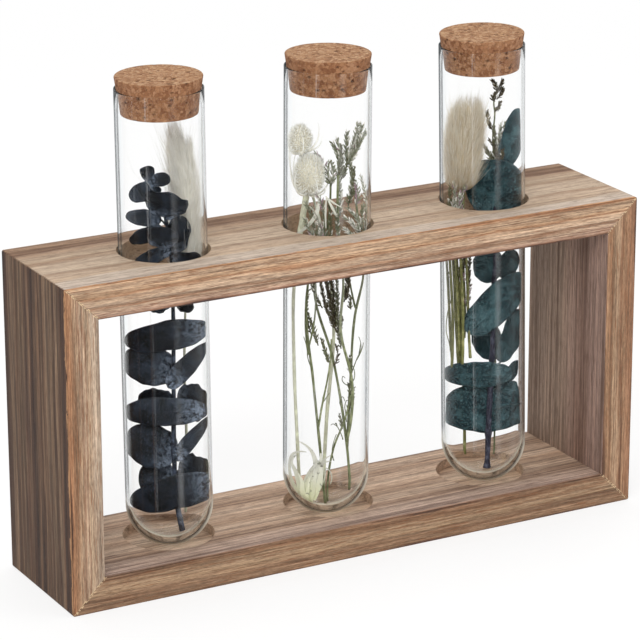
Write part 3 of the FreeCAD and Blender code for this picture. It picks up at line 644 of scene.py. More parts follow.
def mitre_marks(wood, colour, is_edge):
    """Pale chips beside a mitre and a thin dark seam in it.

    Off mitre = distance from the end of the frame - distance from its top or bottom.
    """
    place = wood.split(wood.coordinates())
    from_end = wood.minus(HALF_WIDTH / MM, wood.maths("DIVIDE", wood.maths("ABSOLUTE", place[0]), MM))
    up = wood.maths("DIVIDE", place[2], MM)
    from_top = wood.maths("MINIMUM", up, wood.minus(FRAME_TOP / MM, up))
    off_mitre = wood.maths("ABSOLUTE", wood.minus(from_end, from_top))
    chips = wood.noise(wood.stretch(wood.coordinates(), (1 / MM,) * 3), 0.9, 2.0, 0.6)
    chipped = wood.times(wood.remap(chips, 0.47, 0.60), wood.remap(off_mitre, 0.9, 0.35))
    colour = wood.mix(wood.times(chipped, is_edge), colour, CHIP_PALE)
    return wood.mix(wood.times(wood.remap(off_mitre, 0.22, 0.05), SEAM_SHARE), colour, SEAM_BROWN)


# %% Wood on the boards


def wood_finish(name, quarter_turn, outer_place, seed, outer, edge, inner, streaky, vein_pitch):
    """Wood of one board.

    Coordinates are millimetres along the grain, from front to back, and below the outer face.
    Fibres are noise stretched fifty times, and pores are the darkest part of a finer one.
    """
    wood = Finish(name)
    turn = (0, math.radians(quarter_turn), 0)
    board = wood.stretch(wood.coordinates(), (1 / MM,) * 3, turn, (seed, 0, -outer_place / MM))
    turned = wood.add("ShaderNodeVectorRotate", {"Vector": wood.coordinates("Normal"), "Rotation": turn},
                      rotation_type="EULER_XYZ").outputs[0]
    colour, is_outer, is_edge = face_colours(wood, board, wood.split(turned), outer, edge, inner)
    fibre = grain(wood, board, (0.03, 1.7, 1.7), 3.0, 0.65)
    grit = grain(wood, board, (0.35, 2.6, 2.6), 3.0, 0.7)
    dashes = grain(wood, board, (0.11, 3.4, 3.4), 2.0, 0.5, (7, 3, 1))
    colour = wood.scaled(colour, fibre_shade(wood, fibre, grit, is_edge))
    colour = veined(wood, board, colour, is_edge, streaky, vein_pitch)
    colour = frayed(wood, board, colour, is_outer)
    pores = wood.remap(dashes, 0.56, 0.66, 0.0, 0.70)
    colour = wood.mix(pores, colour, wood.mix(is_edge, FACE_PORE, EDGE_PORE))
    colour = mitre_marks(wood, colour, is_edge)
    relief = wood.plus(wood.times(fibre, wood.remap(is_edge, 0, 1, 0.5, 0.8)),
                       wood.times(grit, wood.remap(is_edge, 0, 1, 0.15, 0.5)))
    relief = wood.minus(relief, wood.times(pores, 0.8))
    normal = wood.bump(relief, WOOD_RELIEF, 0.8)
    gloss = wood.remap(fibre, 0.3, 0.7, 0.78, 0.62)
    return wood.done(wood.surface(Base_Color=colour, Roughness=gloss, Normal=normal, Specular_IOR_Level=0.3))


# Board, turn, place of its outer face, seed, rows of colours, and the veins' strength and pitch.
BOARDS = [
    ("top_board", 0, FRAME_TOP, 11, TOP_FACE, TOP_EDGE, PLAIN_BROWN, 0.13, 2.0),
    ("base_board", 180, 0.0, 237, PLAIN_BROWN, BASE_EDGE, BASE_INSIDE, 0.30, 3.0),
    ("left_end_board", 90, HALF_WIDTH, 431, LEFT_FACE, LEFT_EDGE, END_INSIDE, 0.55, 3.2),
    ("right_end_board", -90, HALF_WIDTH, 613, RIGHT_FACE, RIGHT_EDGE, END_INSIDE, 0.36, 2.6),
]
for node, *look in BOARDS:
    finish = wood_finish(node + "_wood", *look)
    frame["nodes"][node].data.materials.clear()
    frame["nodes"][node].data.materials.append(finish)
print("wood on", len(BOARDS), "boards")

# %% [markdown]
# ## Clear glass
#
# A test tube is a closed skin of glass: outer wall, rounded rim, inner wall and a thicker round
# floor. Rays must cross both faces of the wall, so the wall has to be real. Glass in a room mirrors
# it as dark edges, soft upright streaks and a pale ring at the floor. This studio has no room, so
# the finish paints those reflections, and a soft shade at the edges, from how the wall slants to
# the view, from the height, and from a UV map that tells right from left. The glass bends and
# mirrors less than real glass does, which keeps the leaves behind it clear. Lamps could not shine
# through real glass without much noise, so light that falls on things passes straight.

# %% Glass finish
GLASS_CLEAR = (1.0, 1.0, 1.0, 1.0)
GLASS_BEND = 1.30
GLASS_MIRROR = (0.12, 0.12, 0.12, 1.0)
SOFT_EDGE_SHADE_TINT = paint(224, 232, 238)
DARK_EDGE_REFLECTION = paint(66, 76, 80)
PALE_FLOOR_REFLECTION = paint(252, 248, 232)
VOLUME_TINT = paint(170, 196, 180)
VOLUME_DENSITY = 8.0
FALLING_TINT = (0.97, 0.98, 0.975, 1.0)
# Slants over which each painted mark comes in, from 0 where the wall is seen face on to 1 edge on.
SOFT_SLANT = (0.38, 0.90)
DARK_SLANT = (0.68, 0.76)
PALE_SLANT = (0.56, 0.84)
PALE_SHARE = 0.62
# Sides between which the painted dark reflection at the edge grows towards the left, and its
# strength at both.
DARK_SIDES = (-0.5, -0.9)
DARK_SHARES = (0.30, 0.92)
# Heights between which the round bottom passes into the straight wall.
BOTTOM_HEIGHTS = (0.030, 0.040)
# Upright painted reflections on the front of a tube: place across the radius, half width and strength.
REFLECTION_STREAKS = [(-0.10, 0.020, 0.040), (0.23, 0.030, 0.085), (0.28, 0.016, 0.04), (0.74, 0.080, 0.045),
           (-0.55, 0.12, 0.015)]
STREAK_ROUGHNESS = 0.02
UNEVEN_SCALE = 60.0


def reflection_streak_share(glass, side, front):
    """Painted reflection share: the sum of strength * nearness to each streak, uneven along the tube."""
    share = 0.0
    for place, half, strength in REFLECTION_STREAKS:
        off = glass.maths("ABSOLUTE", glass.minus(side, place))
        share = glass.plus(share, glass.remap(off, half, 0.0, 0.0, strength, "SMOOTHSTEP"))
    uneven = glass.noise(glass.stretch(glass.coordinates(), (1, 1, 0.2)), UNEVEN_SCALE)
    share = glass.times(share, glass.remap(uneven, 0.35, 0.65, 0.3, 1.3))
    return glass.times(share, glass.remap(front, 0.0, -0.1))


def glass_finish():
    """Glass for what is seen, and an open way for light that falls on the flowers.

    The painted streaks, dark edge and pale bottom are laid over clear glass, one after another.
    """
    glass = Finish("clear_tube_glass")
    side, front, _ = glass.surface_places()
    entering = glass.remap(glass.add("ShaderNodeNewGeometry").outputs["Backfacing"], 0.0, 1.0, 1.0, 0.0)
    upright = glass.remap(glass.split(glass.coordinates())[2], *BOTTOM_HEIGHTS)
    slant = glass.add("ShaderNodeLayerWeight", {"Blend": 0.5}).outputs["Facing"]
    # Painted shade: the glass is tinted darker where the wall is seen edge on, most on the left side.
    painted_edge_shade = glass.times(glass.remap(slant, *SOFT_SLANT, 0.0, 1.0, "SMOOTHSTEP"),
                            glass.remap(side, 0.1, -0.9, 0.35, 1.0))
    tint = glass.mix(painted_edge_shade, GLASS_CLEAR, SOFT_EDGE_SHADE_TINT)
    clear = glass.surface(Base_Color=tint, Roughness=0.0, IOR=GLASS_BEND, Transmission_Weight=1.0,
                          Specular_Tint=GLASS_MIRROR)
    mirror = glass.add("ShaderNodeBsdfGlossy", {"Color": GLASS_CLEAR, "Roughness": STREAK_ROUGHNESS})
    seen = glass.mix_shaders(reflection_streak_share(glass, side, front), clear, mirror.outputs[0])
    edge_on = glass.times(glass.remap(slant, *DARK_SLANT, 0.0, 1.0, "SMOOTHSTEP"), entering)
    dark = glass.times(glass.remap(side, *DARK_SIDES, *DARK_SHARES), upright)
    # Painted reflection: a dark diffuse colour on the edge stands for a dark room mirrored there.
    rim = glass.add("ShaderNodeBsdfDiffuse", {"Color": DARK_EDGE_REFLECTION})
    seen = glass.mix_shaders(glass.times(dark, edge_on), seen, rim.outputs[0])
    # Painted reflection: a pale diffuse ring at the thick round floor stands for the white studio seen in it.
    thick = glass.times(glass.remap(slant, *PALE_SLANT, 0.0, PALE_SHARE, "SMOOTHSTEP"),
                        glass.remap(upright, 0.0, 1.0, 1.0, 0.0))
    pale = glass.add("ShaderNodeBsdfDiffuse", {"Color": PALE_FLOOR_REFLECTION})
    seen = glass.mix_shaders(glass.times(thick, entering), seen, pale.outputs[0])
    through = glass.add("ShaderNodeBsdfTransparent", {"Color": FALLING_TINT})
    both = glass.mix_shaders(light_falling(glass), seen, through.outputs[0])
    tinted = glass.add("ShaderNodeVolumeAbsorption", {"Color": VOLUME_TINT, "Density": VOLUME_DENSITY})
    return glass.done(both, tinted.outputs[0])


# %% Tubes
TUBE_AROUND = 144
BALL_STEPS, RIM_STEPS, WALL_STEPS = 40, 13, 26
# Turn from the pole of the round bottom to its smallest ring.
POLE_TURN = 0.02
# The marks on the glass are counted from a line this far in front of the tube's right edge.
MARK_TURN = math.radians(-28.8)


def turned_skin(name, profile, around):
    """A profile of radius and height, turned round the tube's axis.

    Point = (radius * cos turn, radius * sin turn, height). The UV map places the marks of the
    finish: cos (turn - mark turn), sin (turn - mark turn).
    """
    turn = np.linspace(0, 2 * math.pi, around, endpoint=False)
    radius, height = profile[:, :1], profile[:, 1:]
    rings = np.stack(np.broadcast_arrays(radius * np.cos(turn), radius * np.sin(turn), height), -1)
    marked = turn - MARK_TURN
    return skin(into_tube(name, rings)[None], np.stack([np.cos(marked), np.sin(marked)], -1))


def tube_profile(radius, length):
    """Outer ball, outer wall, round lip, inner wall and inner ball, as radius and height."""
    inner = radius - TUBE_WALL
    lip = TUBE_WALL / 2
    down = np.linspace(POLE_TURN, math.pi / 2, BALL_STEPS)
    outer_ball = np.stack([radius * np.sin(down), radius - radius * np.cos(down)], -1)
    over = np.linspace(0, math.pi, RIM_STEPS)
    rim = np.stack([radius - lip + lip * np.cos(over), length - lip + lip * np.sin(over)], -1)
    inner_ball = np.stack([inner * np.sin(down), TUBE_FLOOR + inner - inner * np.cos(down)], -1)[::-1]
    wall = np.linspace(outer_ball[-1], rim[0], WALL_STEPS)[1:-1]
    inner_wall = np.linspace(rim[-1], inner_ball[0], WALL_STEPS)[1:-1]
    return np.concatenate([outer_ball, wall, rim, inner_wall, inner_ball])


GLASS = glass_finish()
for name, tube in TUBES.items():
    shape = turned_skin(name, tube_profile(tube["radius"], tube["length"]), TUBE_AROUND)
    put_piece(name + "_test_tube", [shape], GLASS, name + "_tube", [name + "_glass_tube"])

# %% [markdown]
# ## Cork
#
# The stoppers are pressed from cork granules. The sides show packed grains with dark pits between
# them. Pits are modelled: every point of the skin sinks where it lies near one of many scattered
# pit centres, and the same depth darkens the colour as painted shade. The grains themselves are a
# cell pattern.

# %% Cork finish
CORK_HEIGHT = 17.3 * MM
CORK_SHOWING = 5.5 * MM
CORK_TAPER = math.radians(8.0)
CORK_EDGE = 0.5 * MM
# Painted shade by facing: these factors darken the side of a cork more than its top.
CORK_SHADED_SIDE_TONE = (0.58, 0.49, 0.47, 1.0)
CORK_LIT_TOP_TONE = (0.74, 0.73, 0.75, 1.0)
CORK_GRAINS = [(0.0, (150, 104, 70)), (0.3, (184, 138, 98)), (0.6, (202, 158, 116)),
               (0.85, (214, 174, 134)), (1.0, (168, 118, 80))]
CORK_SEAM = paint(118, 74, 48)
CORK_SPECK = paint(92, 54, 34)
CORK_PALE_SPECK = paint(232, 200, 160)
CORK_PIT_SHADE = paint(70, 40, 26)
GRAIN_SCALE = 620.0
GRAIN_SWAY = 0.0016
CORK_RELIEF = 0.22 * MM


def cork_finish():
    """Grains with their own tones, seams, dark and pale specks, and painted shade in pits and on the side."""
    cork = Finish("pressed_cork")
    place = cork.coordinates()
    sway = cork.add("ShaderNodeTexNoise", {"Vector": place, "Scale": 700.0, "Detail": 2.0}).outputs["Color"]
    swayed = cork.mix(GRAIN_SWAY, place, sway, "ADD")
    inputs = {"Vector": swayed, "Scale": GRAIN_SCALE}
    grains = cork.add("ShaderNodeTexVoronoi", inputs)
    colour = cork.ramp(cork.split(grains.outputs["Color"])[0], CORK_GRAINS)
    off_seam = cork.add("ShaderNodeTexVoronoi", inputs, feature="DISTANCE_TO_EDGE").outputs["Distance"]
    colour = cork.mix(cork.remap(off_seam, 0.0, 0.10, 0.42, 0.0), colour, CORK_SEAM)
    speck = cork.noise(place, 2600.0, 3.0, 0.7)
    colour = cork.mix(cork.remap(speck, 0.56, 0.70, 0.0, 0.75), colour, CORK_SPECK)
    pale_speck = cork.noise(cork.stretch(place, (1, 1, 1), shift=(3, 5, 7)), 1700.0, 2.0, 0.6)
    colour = cork.mix(cork.remap(pale_speck, 0.60, 0.72, 0.0, 0.6), colour, CORK_PALE_SPECK)
    # Painted shade in the pits: the depth that the mesh carries as its tint darkens the colour.
    colour = cork.mix(cork.attribute("tint"), colour, CORK_PIT_SHADE)
    # Painted shade: the side is made darker than the top, as if less light fell on it.
    lit_top_share = cork.remap(cork.split(cork.coordinates("Normal"))[2], 0.6, 0.9)
    colour = cork.mix(1.0, colour, cork.mix(lit_top_share, CORK_SHADED_SIDE_TONE, CORK_LIT_TOP_TONE), "MULTIPLY")
    height = cork.minus(cork.remap(off_seam, 0.0, 0.12), cork.times(speck, 0.9))
    normal = cork.bump(height, CORK_RELIEF, 0.8)
    return cork.done(cork.surface(Base_Color=colour, Roughness=0.85, Normal=normal, Specular_IOR_Level=0.25))


# %% Stoppers
CORK_AROUND = 220
CORK_POLE = 0.3 * MM
PITS = 150
SIDE_PITS = 0.62
PIT_SIZES = (0.5, 1.5)
PIT_DEPTHS = (0.15, 0.6)
DEEPEST = 0.7 * MM
# A point this deep has the darkest painted shade that a pit gives.
PIT_SHADE_DEPTH = 0.45 * MM
DARKEST_PIT_SHADE = 0.85


def cork_profile(top_radius):
    """From the middle of the lower face, out, up the tapered side and in over the top."""
    low_radius = top_radius - CORK_HEIGHT * math.tan(CORK_TAPER)
    over = np.linspace(0, math.pi / 2, 5)
    lower_rim = np.stack([low_radius - CORK_EDGE + CORK_EDGE * np.sin(over),
                          CORK_EDGE - CORK_EDGE * np.cos(over)], -1)
    upper_rim = np.stack([top_radius - CORK_EDGE + CORK_EDGE * np.cos(over),
                          CORK_HEIGHT - CORK_EDGE + CORK_EDGE * np.sin(over)], -1)
    lower = np.linspace([CORK_POLE, 0], lower_rim[0], 12)[:-1]
    side = np.linspace(lower_rim[-1], upper_rim[0], 44)[1:-1]
    upper = np.linspace(upper_rim[-1], [CORK_POLE, CORK_HEIGHT], 38)[1:]
    return np.concatenate([lower, lower_rim, side, upper_rim, upper])


def make_cork(name, seed):
    """A turned skin whose points sink into pits.

    Depth = sum over pits of depth * max(0, 1 - (distance / size) squared) squared, along the way
    to the cork's middle axis on the side and straight down on the top.
    """
    rng = np.random.default_rng(seed)
    low, high = (np.array(corner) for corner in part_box(name + "_cork_stopper"))
    top_radius = (high[1] - low[1]) / 2
    profile = cork_profile(top_radius)
    turn = np.linspace(0, 2 * math.pi, CORK_AROUND, endpoint=False)
    radius, height = profile[:, :1], profile[:, 1:]
    points = np.stack(np.broadcast_arrays(radius * np.cos(turn), radius * np.sin(turn), height), -1)
    pit_turn = rng.uniform(0, 2 * math.pi, PITS)
    pit_out = np.where(rng.random(PITS) < SIDE_PITS, 1.0, np.sqrt(rng.random(PITS)) * 0.96)
    pit_up = np.where(pit_out < 1.0, CORK_HEIGHT, rng.uniform(0, CORK_HEIGHT, PITS))
    pit_radius = (top_radius - (CORK_HEIGHT - pit_up) * math.tan(CORK_TAPER)) * pit_out
    pits = np.stack([pit_radius * np.cos(pit_turn), pit_radius * np.sin(pit_turn), pit_up], -1)
    size = rng.uniform(*PIT_SIZES, PITS) * MM
    deep = rng.uniform(*PIT_DEPTHS, PITS) * MM
    away = np.linalg.norm((points.reshape(-1, 1, 3) - pits) * [1, 1, 1.4], axis=-1)
    sink = (deep * np.clip(1 - (away / size) ** 2, 0, None) ** 2).sum(-1).reshape(points.shape[:2])
    sink = np.clip(sink, 0, DEEPEST)
    on_side = np.clip((profile[:, 0] - 0.2 * top_radius) / (0.1 * top_radius), 0, 1)[:, None]
    flat = (profile[:, 1] > CORK_HEIGHT - 0.2 * CORK_EDGE)[:, None]
    inward = np.stack(np.broadcast_arrays(-np.cos(turn) * on_side * ~flat, -np.sin(turn) * on_side * ~flat,
                                          -1.0 * flat + 0 * turn), -1)
    points = points + inward * sink[..., None]
    foot = TUBES[name]["length"] + CORK_SHOWING - CORK_HEIGHT
    shape = skin(into_tube(name, points + UP * foot)[None])
    # The tint carries the painted shade of the pits: deeper points are darker.
    shape["tint"] = np.concatenate([(sink / PIT_SHADE_DEPTH).clip(0, DARKEST_PIT_SHADE).reshape(-1), [0, 0]])
    put_piece(name + "_cork", [shape], CORK, name + "_cork", [name + "_cork_stopper"])


CORK = cork_finish()
for seed, name in enumerate(TUBE_NAMES):
    make_cork(name, seed + 5)

# %% [markdown]
# ## Growing inside a tube
#
# Every stem, leaf and hair is placed by shares that hold for any tube: across and away in radii of
# the bore, and up in lengths of the tube. Dried stems stand on the round floor and lean on the
# glass, so whatever would cross the glass is bent softly back inside.

# %% Places in a tube
EDGE_OF_BORE = BORE - 0.25 * MM
SOFT_START_SHARE = 0.9
FOOT_GAP = 0.2 * MM


def places(*shares):
    """Points in a tube from shares: across, away and up."""
    return np.array(shares, float) * [BORE, BORE, TALL]


def kept_inside(points):
    """Points pulled softly inside the bore.

    The distance is measured from the axis, or from the middle of the round floor below it. Past a
    start it grows as the hyperbolic tangent of the rest, so it never reaches the glass.
    """
    below = np.minimum(points[..., 2] - TUBE_FLOOR - BORE, 0.0)
    offset = np.stack([points[..., 0], points[..., 1], below], -1)
    far = np.maximum(np.linalg.norm(offset, axis=-1, keepdims=True), 0.001 * MM)
    start = SOFT_START_SHARE * EDGE_OF_BORE
    room = EDGE_OF_BORE - start
    held = np.where(far > start, start + room * np.tanh((far - start) / room), far)
    return points + offset * (held / far - 1)


def plant_piece(tube, name, skins, finish, replaces):
    """A piece that grows in a tube and rides with it."""
    for part in skins:
        part["points"] = into_tube(tube, kept_inside(part["points"]))
    put_piece(name, skins, finish, tube + "_tube", replaces)


# %% [markdown]
# ## Stems
#
# A dried stem is a rod that tapers, bends a little and swells where leaves or twigs spring. A curve
# with a bevel would give the rod, but not the swellings, so the radius is a list that goes with
# the path: taper * slow ripple * (1 + bumps at the knots).

# %% Stems
KNOT_SWELL = 0.35
KNOT_LENGTH = 1.3 * MM


class Stem:
    """A path up the tube with a radius at each of its places."""

    def __init__(self, shares, thick, tip_share=0.7, stands=True, count=64, knots=(), seed=1):
        points = places(*shares)
        if stands:
            reach = math.hypot(points[0, 0], points[0, 1]) + thick / 2
            points[0, 2] = TUBE_FLOOR + BORE - math.sqrt(BORE ** 2 - reach ** 2) + FOOT_GAP
        self.path = smooth_path(points, count)
        along = np.linspace(0, 1, count)
        wander = np.random.default_rng(seed).uniform(0, 2 * math.pi, 3)
        ripple = 1 + 0.05 * np.sin(23 * along + wander[0]) + 0.04 * np.sin(51 * along + wander[1])
        self.radii = thick / 2 * np.linspace(1, tip_share, count) * ripple
        for knot in knots:
            self.radii *= 1 + KNOT_SWELL * np.exp(-((self.path[:, 2] - knot * TALL) / KNOT_LENGTH) ** 2)

    def at(self, height_share):
        """Middle and radius where the stem reaches a height."""
        row = int(np.argmin(np.abs(self.path[:, 2] - height_share * TALL)))
        return self.path[row], self.radii[row]

    def rod(self, tint=0.5, sides=12):
        """The stem's skin."""
        return rods(self.path[None], self.radii[None], sides, tint=tint)


def stem_finish(name, deep, body, pale, speck_share=0.5, gloss=0.6):
    """Bark: fibres that run up the stem, blotches, and small specks."""
    bark = Finish(name)
    place = bark.coordinates()
    fibre = bark.noise(bark.stretch(place, (1, 1, 0.06)), 3200.0, 3.0, 0.6)
    blotch = bark.noise(place, 260.0, 3.0, 0.6)
    colour = bark.mix(bark.remap(fibre, 0.36, 0.62), paint(*deep), paint(*body))
    colour = bark.mix(bark.remap(blotch, 0.50, 0.70, 0.0, 0.8), colour, paint(*pale))
    specks = bark.noise(place, 2300.0, 2.0, 0.6)
    colour = bark.mix(bark.remap(specks, 0.60, 0.72, 0.0, speck_share), colour, paint(*deep))
    shade = bark.remap(bark.attribute("tint"), 0.0, 1.0, 0.72, 1.28)
    colour = bark.scaled(colour, shade)
    normal = bark.bump(fibre, 0.12 * MM, 0.7)
    return bark.done(bark.surface(Base_Color=colour, Roughness=gloss, Normal=normal, Specular_IOR_Level=0.18))


# %% [markdown]
# ## Gum leaves
#
# A preserved gum leaf is round to oval, thick, a little cupped, with a wavy edge and a bloom of pale
# wax near its short stalk. A flat disc with a picture would have no rim and no underside. Here the
# leaf is a grid from root to tip and from edge to edge, thickened towards its middle rib. An edge
# that would reach the glass bends along it, as a leaf pressed into a tube does. The UV map holds
# the grid's two parameters, so the veins in the finish follow the leaf however it turns.

# %% Leaves
LEAF_ROWS = 34
LEAF_COLUMNS = 15
LEAF_THICK = 0.5 * MM
LEAF_END_TURN = math.radians(3.0)
LEAF_STALK = 0.55 * MM
LEAF_BLUNT = 0.85
# Leaf edges that would reach the glass bend along it at this distance from the axis.
LEAF_LIMIT = BORE - 0.35 * MM
STALK_DROP_SHARE = 0.012
SIDE_VEINS = 13.0
VEIN_SLANT = 5.0


def leaf(stem, root, tip, width, roll=0.0, cup=0.0, bend=0.0, wave=0.03, taper=0.0, tint=0.5, seed=1):
    """A leaf between two places in the tube, with a short stalk from the stem to its root.

    Half width = width / 2 * sin(turn) ** 0.85 * (1 + taper * cos(turn)) * (1 + small waves), with
    turn from 0 to half a circle between root and tip. Rise = cup * aside ** 2 + bend * run *
    (1 - run) + waves that grow towards the edge - a groove along the rib. The blade faces the
    front, then rolls about its length, and points past the glass are drawn back to it.
    """
    rng = np.random.default_rng(seed)
    root, tip = places(root, tip)
    half = width * BORE / 2
    length = np.linalg.norm(tip - root)
    along = (tip - root) / length
    toward = np.array([0.0, -1.0, 0.0])
    face = toward - along * (toward @ along)
    face = face / np.linalg.norm(face)
    turned = math.radians(roll)
    face = face * math.cos(turned) + np.cross(along, face) * math.sin(turned)
    across = np.cross(along, face)

    turn = np.linspace(LEAF_END_TURN, math.pi - LEAF_END_TURN, LEAF_ROWS)[:, None]
    run = (math.cos(LEAF_END_TURN) - np.cos(turn)) / (2 * math.cos(LEAF_END_TURN))
    side = np.linspace(-1, 1, LEAF_COLUMNS)[None]
    phase = rng.uniform(0, 2 * math.pi, 4)
    scallop = (1 + 0.025 * np.sin(5 * turn + phase[0] + 1.4 * side)
               + 0.012 * np.sin(13 * turn + phase[1] + 2 * side))
    aside = np.sin(turn) ** LEAF_BLUNT * side * scallop * (1 + taper * np.cos(turn))
    ripple = wave * 2 * half * side ** 2 * (np.sin(4.4 * math.pi * run + phase[2] + 1.2 * side)
                                            + 0.4 * np.sin(9 * math.pi * run + phase[3] - 2 * side))
    rise = (cup * 2 * half * aside ** 2 + bend * length * 4 * run * (1 - run) + ripple
            - 0.02 * half * np.exp(-(side / 0.1) ** 2))
    thick = LEAF_THICK * (1 - 0.6 * side ** 2) * (0.3 + 0.7 * np.sin(turn)) / 2
    grid = (root + along * (length * run)[..., None] + across * (half * aside)[..., None]
            + face * rise[..., None])
    lift = face * thick[..., None]
    ring = np.concatenate([grid + lift, (grid - lift)[:, ::-1]], 1)
    reach = np.linalg.norm(ring[..., :2], axis=-1, keepdims=True)
    ring[..., :2] *= np.minimum(1, LEAF_LIMIT / reach)
    over = np.stack(np.broadcast_arrays(run, (side + 1) / 2), -1)
    under = np.stack(np.broadcast_arrays(run, 2 - (side + 1) / 2), -1)[:, ::-1]
    blade = skin(ring[None], np.concatenate([over, under], 1)[None], tint)
    middle = stem.at(root[2] / TALL - STALK_DROP_SHARE)[0]
    stalk = smooth_path([middle, (middle + root) / 2, root, root + along * 0.2 * length], 9)
    stalk = rods(stalk[None], LEAF_STALK * np.linspace(1, 0.4, 9)[None], 7, tint=tint)
    return [blade, stalk]


def leaf_finish(name, deep, body, light, bloom, bloom_share, gloss):
    """Speckled skin, fine side veins, a pale rib and a dusty bloom near the root."""
    green = Finish(name)
    place = green.coordinates()
    run, across, _ = green.surface_places()
    off_middle = green.minus(green.maths("PINGPONG", across, 1.0), 0.5)
    from_rib = green.times(green.maths("ABSOLUTE", off_middle), 2.0)
    under = green.maths("GREATER_THAN", across, 1.001)
    speck = green.noise(place, 720.0, 4.0, 0.75)
    cloud = green.noise(place, 130.0, 3.0, 0.6)
    colour = green.mix(green.remap(speck, 0.42, 0.58), paint(*deep), paint(*body))
    colour = green.mix(green.remap(cloud, 0.48, 0.66, 0.0, 0.40), colour, paint(*light))
    fine = green.noise(green.stretch(place, (1, 1, 1), shift=(2, 4, 6)), 1300.0, 2.0, 0.6)
    colour = green.mix(green.remap(fine, 0.56, 0.66, 0.0, 0.65), colour, paint(*light))
    wobble = green.remap(cloud, 0.3, 0.7, -0.5, 0.5)
    vein_place = green.minus(green.times(run, SIDE_VEINS), green.times(from_rib, VEIN_SLANT))
    vein_place = green.plus(vein_place, wobble)
    off_vein = green.maths("ABSOLUTE", green.minus(green.maths("FRACT", vein_place), 0.5))
    vein = green.remap(off_vein, 0.03, 0.10, 1.0, 0.0)
    rib = green.remap(from_rib, 0.02, 0.06, 1.0, 0.0)
    lines = green.maths("MAXIMUM", green.times(vein, 0.30), green.times(rib, 0.40))
    lines = green.times(lines, green.remap(run, 0.1, 0.8, 1.0, 0.15))
    colour = green.mix(lines, colour, paint(*light))
    dusty = green.remap(green.noise(place, 480.0, 4.0, 0.8), 0.42, 0.60)
    dust = green.times(green.remap(run, 0.0, 0.50, 1.0, 0.0, "SMOOTHSTEP"), dusty)
    dust = green.times(dust, bloom_share)
    colour = green.mix(dust, colour, paint(*bloom))
    colour = green.mix(green.times(under, 0.30), colour, paint(*light))
    shade = green.remap(green.attribute("tint"), 0.0, 1.0, 0.55, 1.5)
    colour = green.scaled(colour, shade)
    relief = green.plus(green.times(lines, 1.2), green.times(speck, 0.5))
    normal = green.bump(relief, 0.12 * MM, 0.7)
    rough = green.remap(speck, 0.35, 0.65, gloss + 0.12, gloss)
    return green.done(green.surface(Base_Color=colour, Roughness=rough, Normal=normal,
                                    Specular_IOR_Level=0.14))


# %% [markdown]
# ## The left sprig
#
# The left tube holds a gum sprig with leaves nearly to its foot, charcoal with a blue-grey dust.
# Each leaf is one row: its root and its tip in shares of the tube, how wide it is, and how it
# rolls, cups, bends, waves and tapers. The widest leaves cross in front of the stem from wall to
# wall, so their roots are at one wall and their tips at the other. The rows are grouped into the
# tip, the middle and the lower foliage, as the solids are.

# %% Left stem and leaves
LEFT_LEAF = leaf_finish("dusky_leaf", (9, 10, 12), (19, 21, 25), (48, 58, 72), (122, 134, 152), 0.80, 0.42)
LEFT_KNOTS = (0.09, 0.11, 0.198, 0.30, 0.36, 0.46, 0.54, 0.65, 0.71, 0.75)
LEFT_GUM = Stem([(0.32, -0.12, 0.02), (0.18, 0.05, 0.09), (0.14, 0.08, 0.2), (0.17, 0.08, 0.36),
                 (0.2, 0.08, 0.52), (0.16, 0.06, 0.66), (0.04, 0.05, 0.735), (-0.16, 0.05, 0.79)],
                2.7 * MM, 0.45, count=120, knots=LEFT_KNOTS, seed=3)
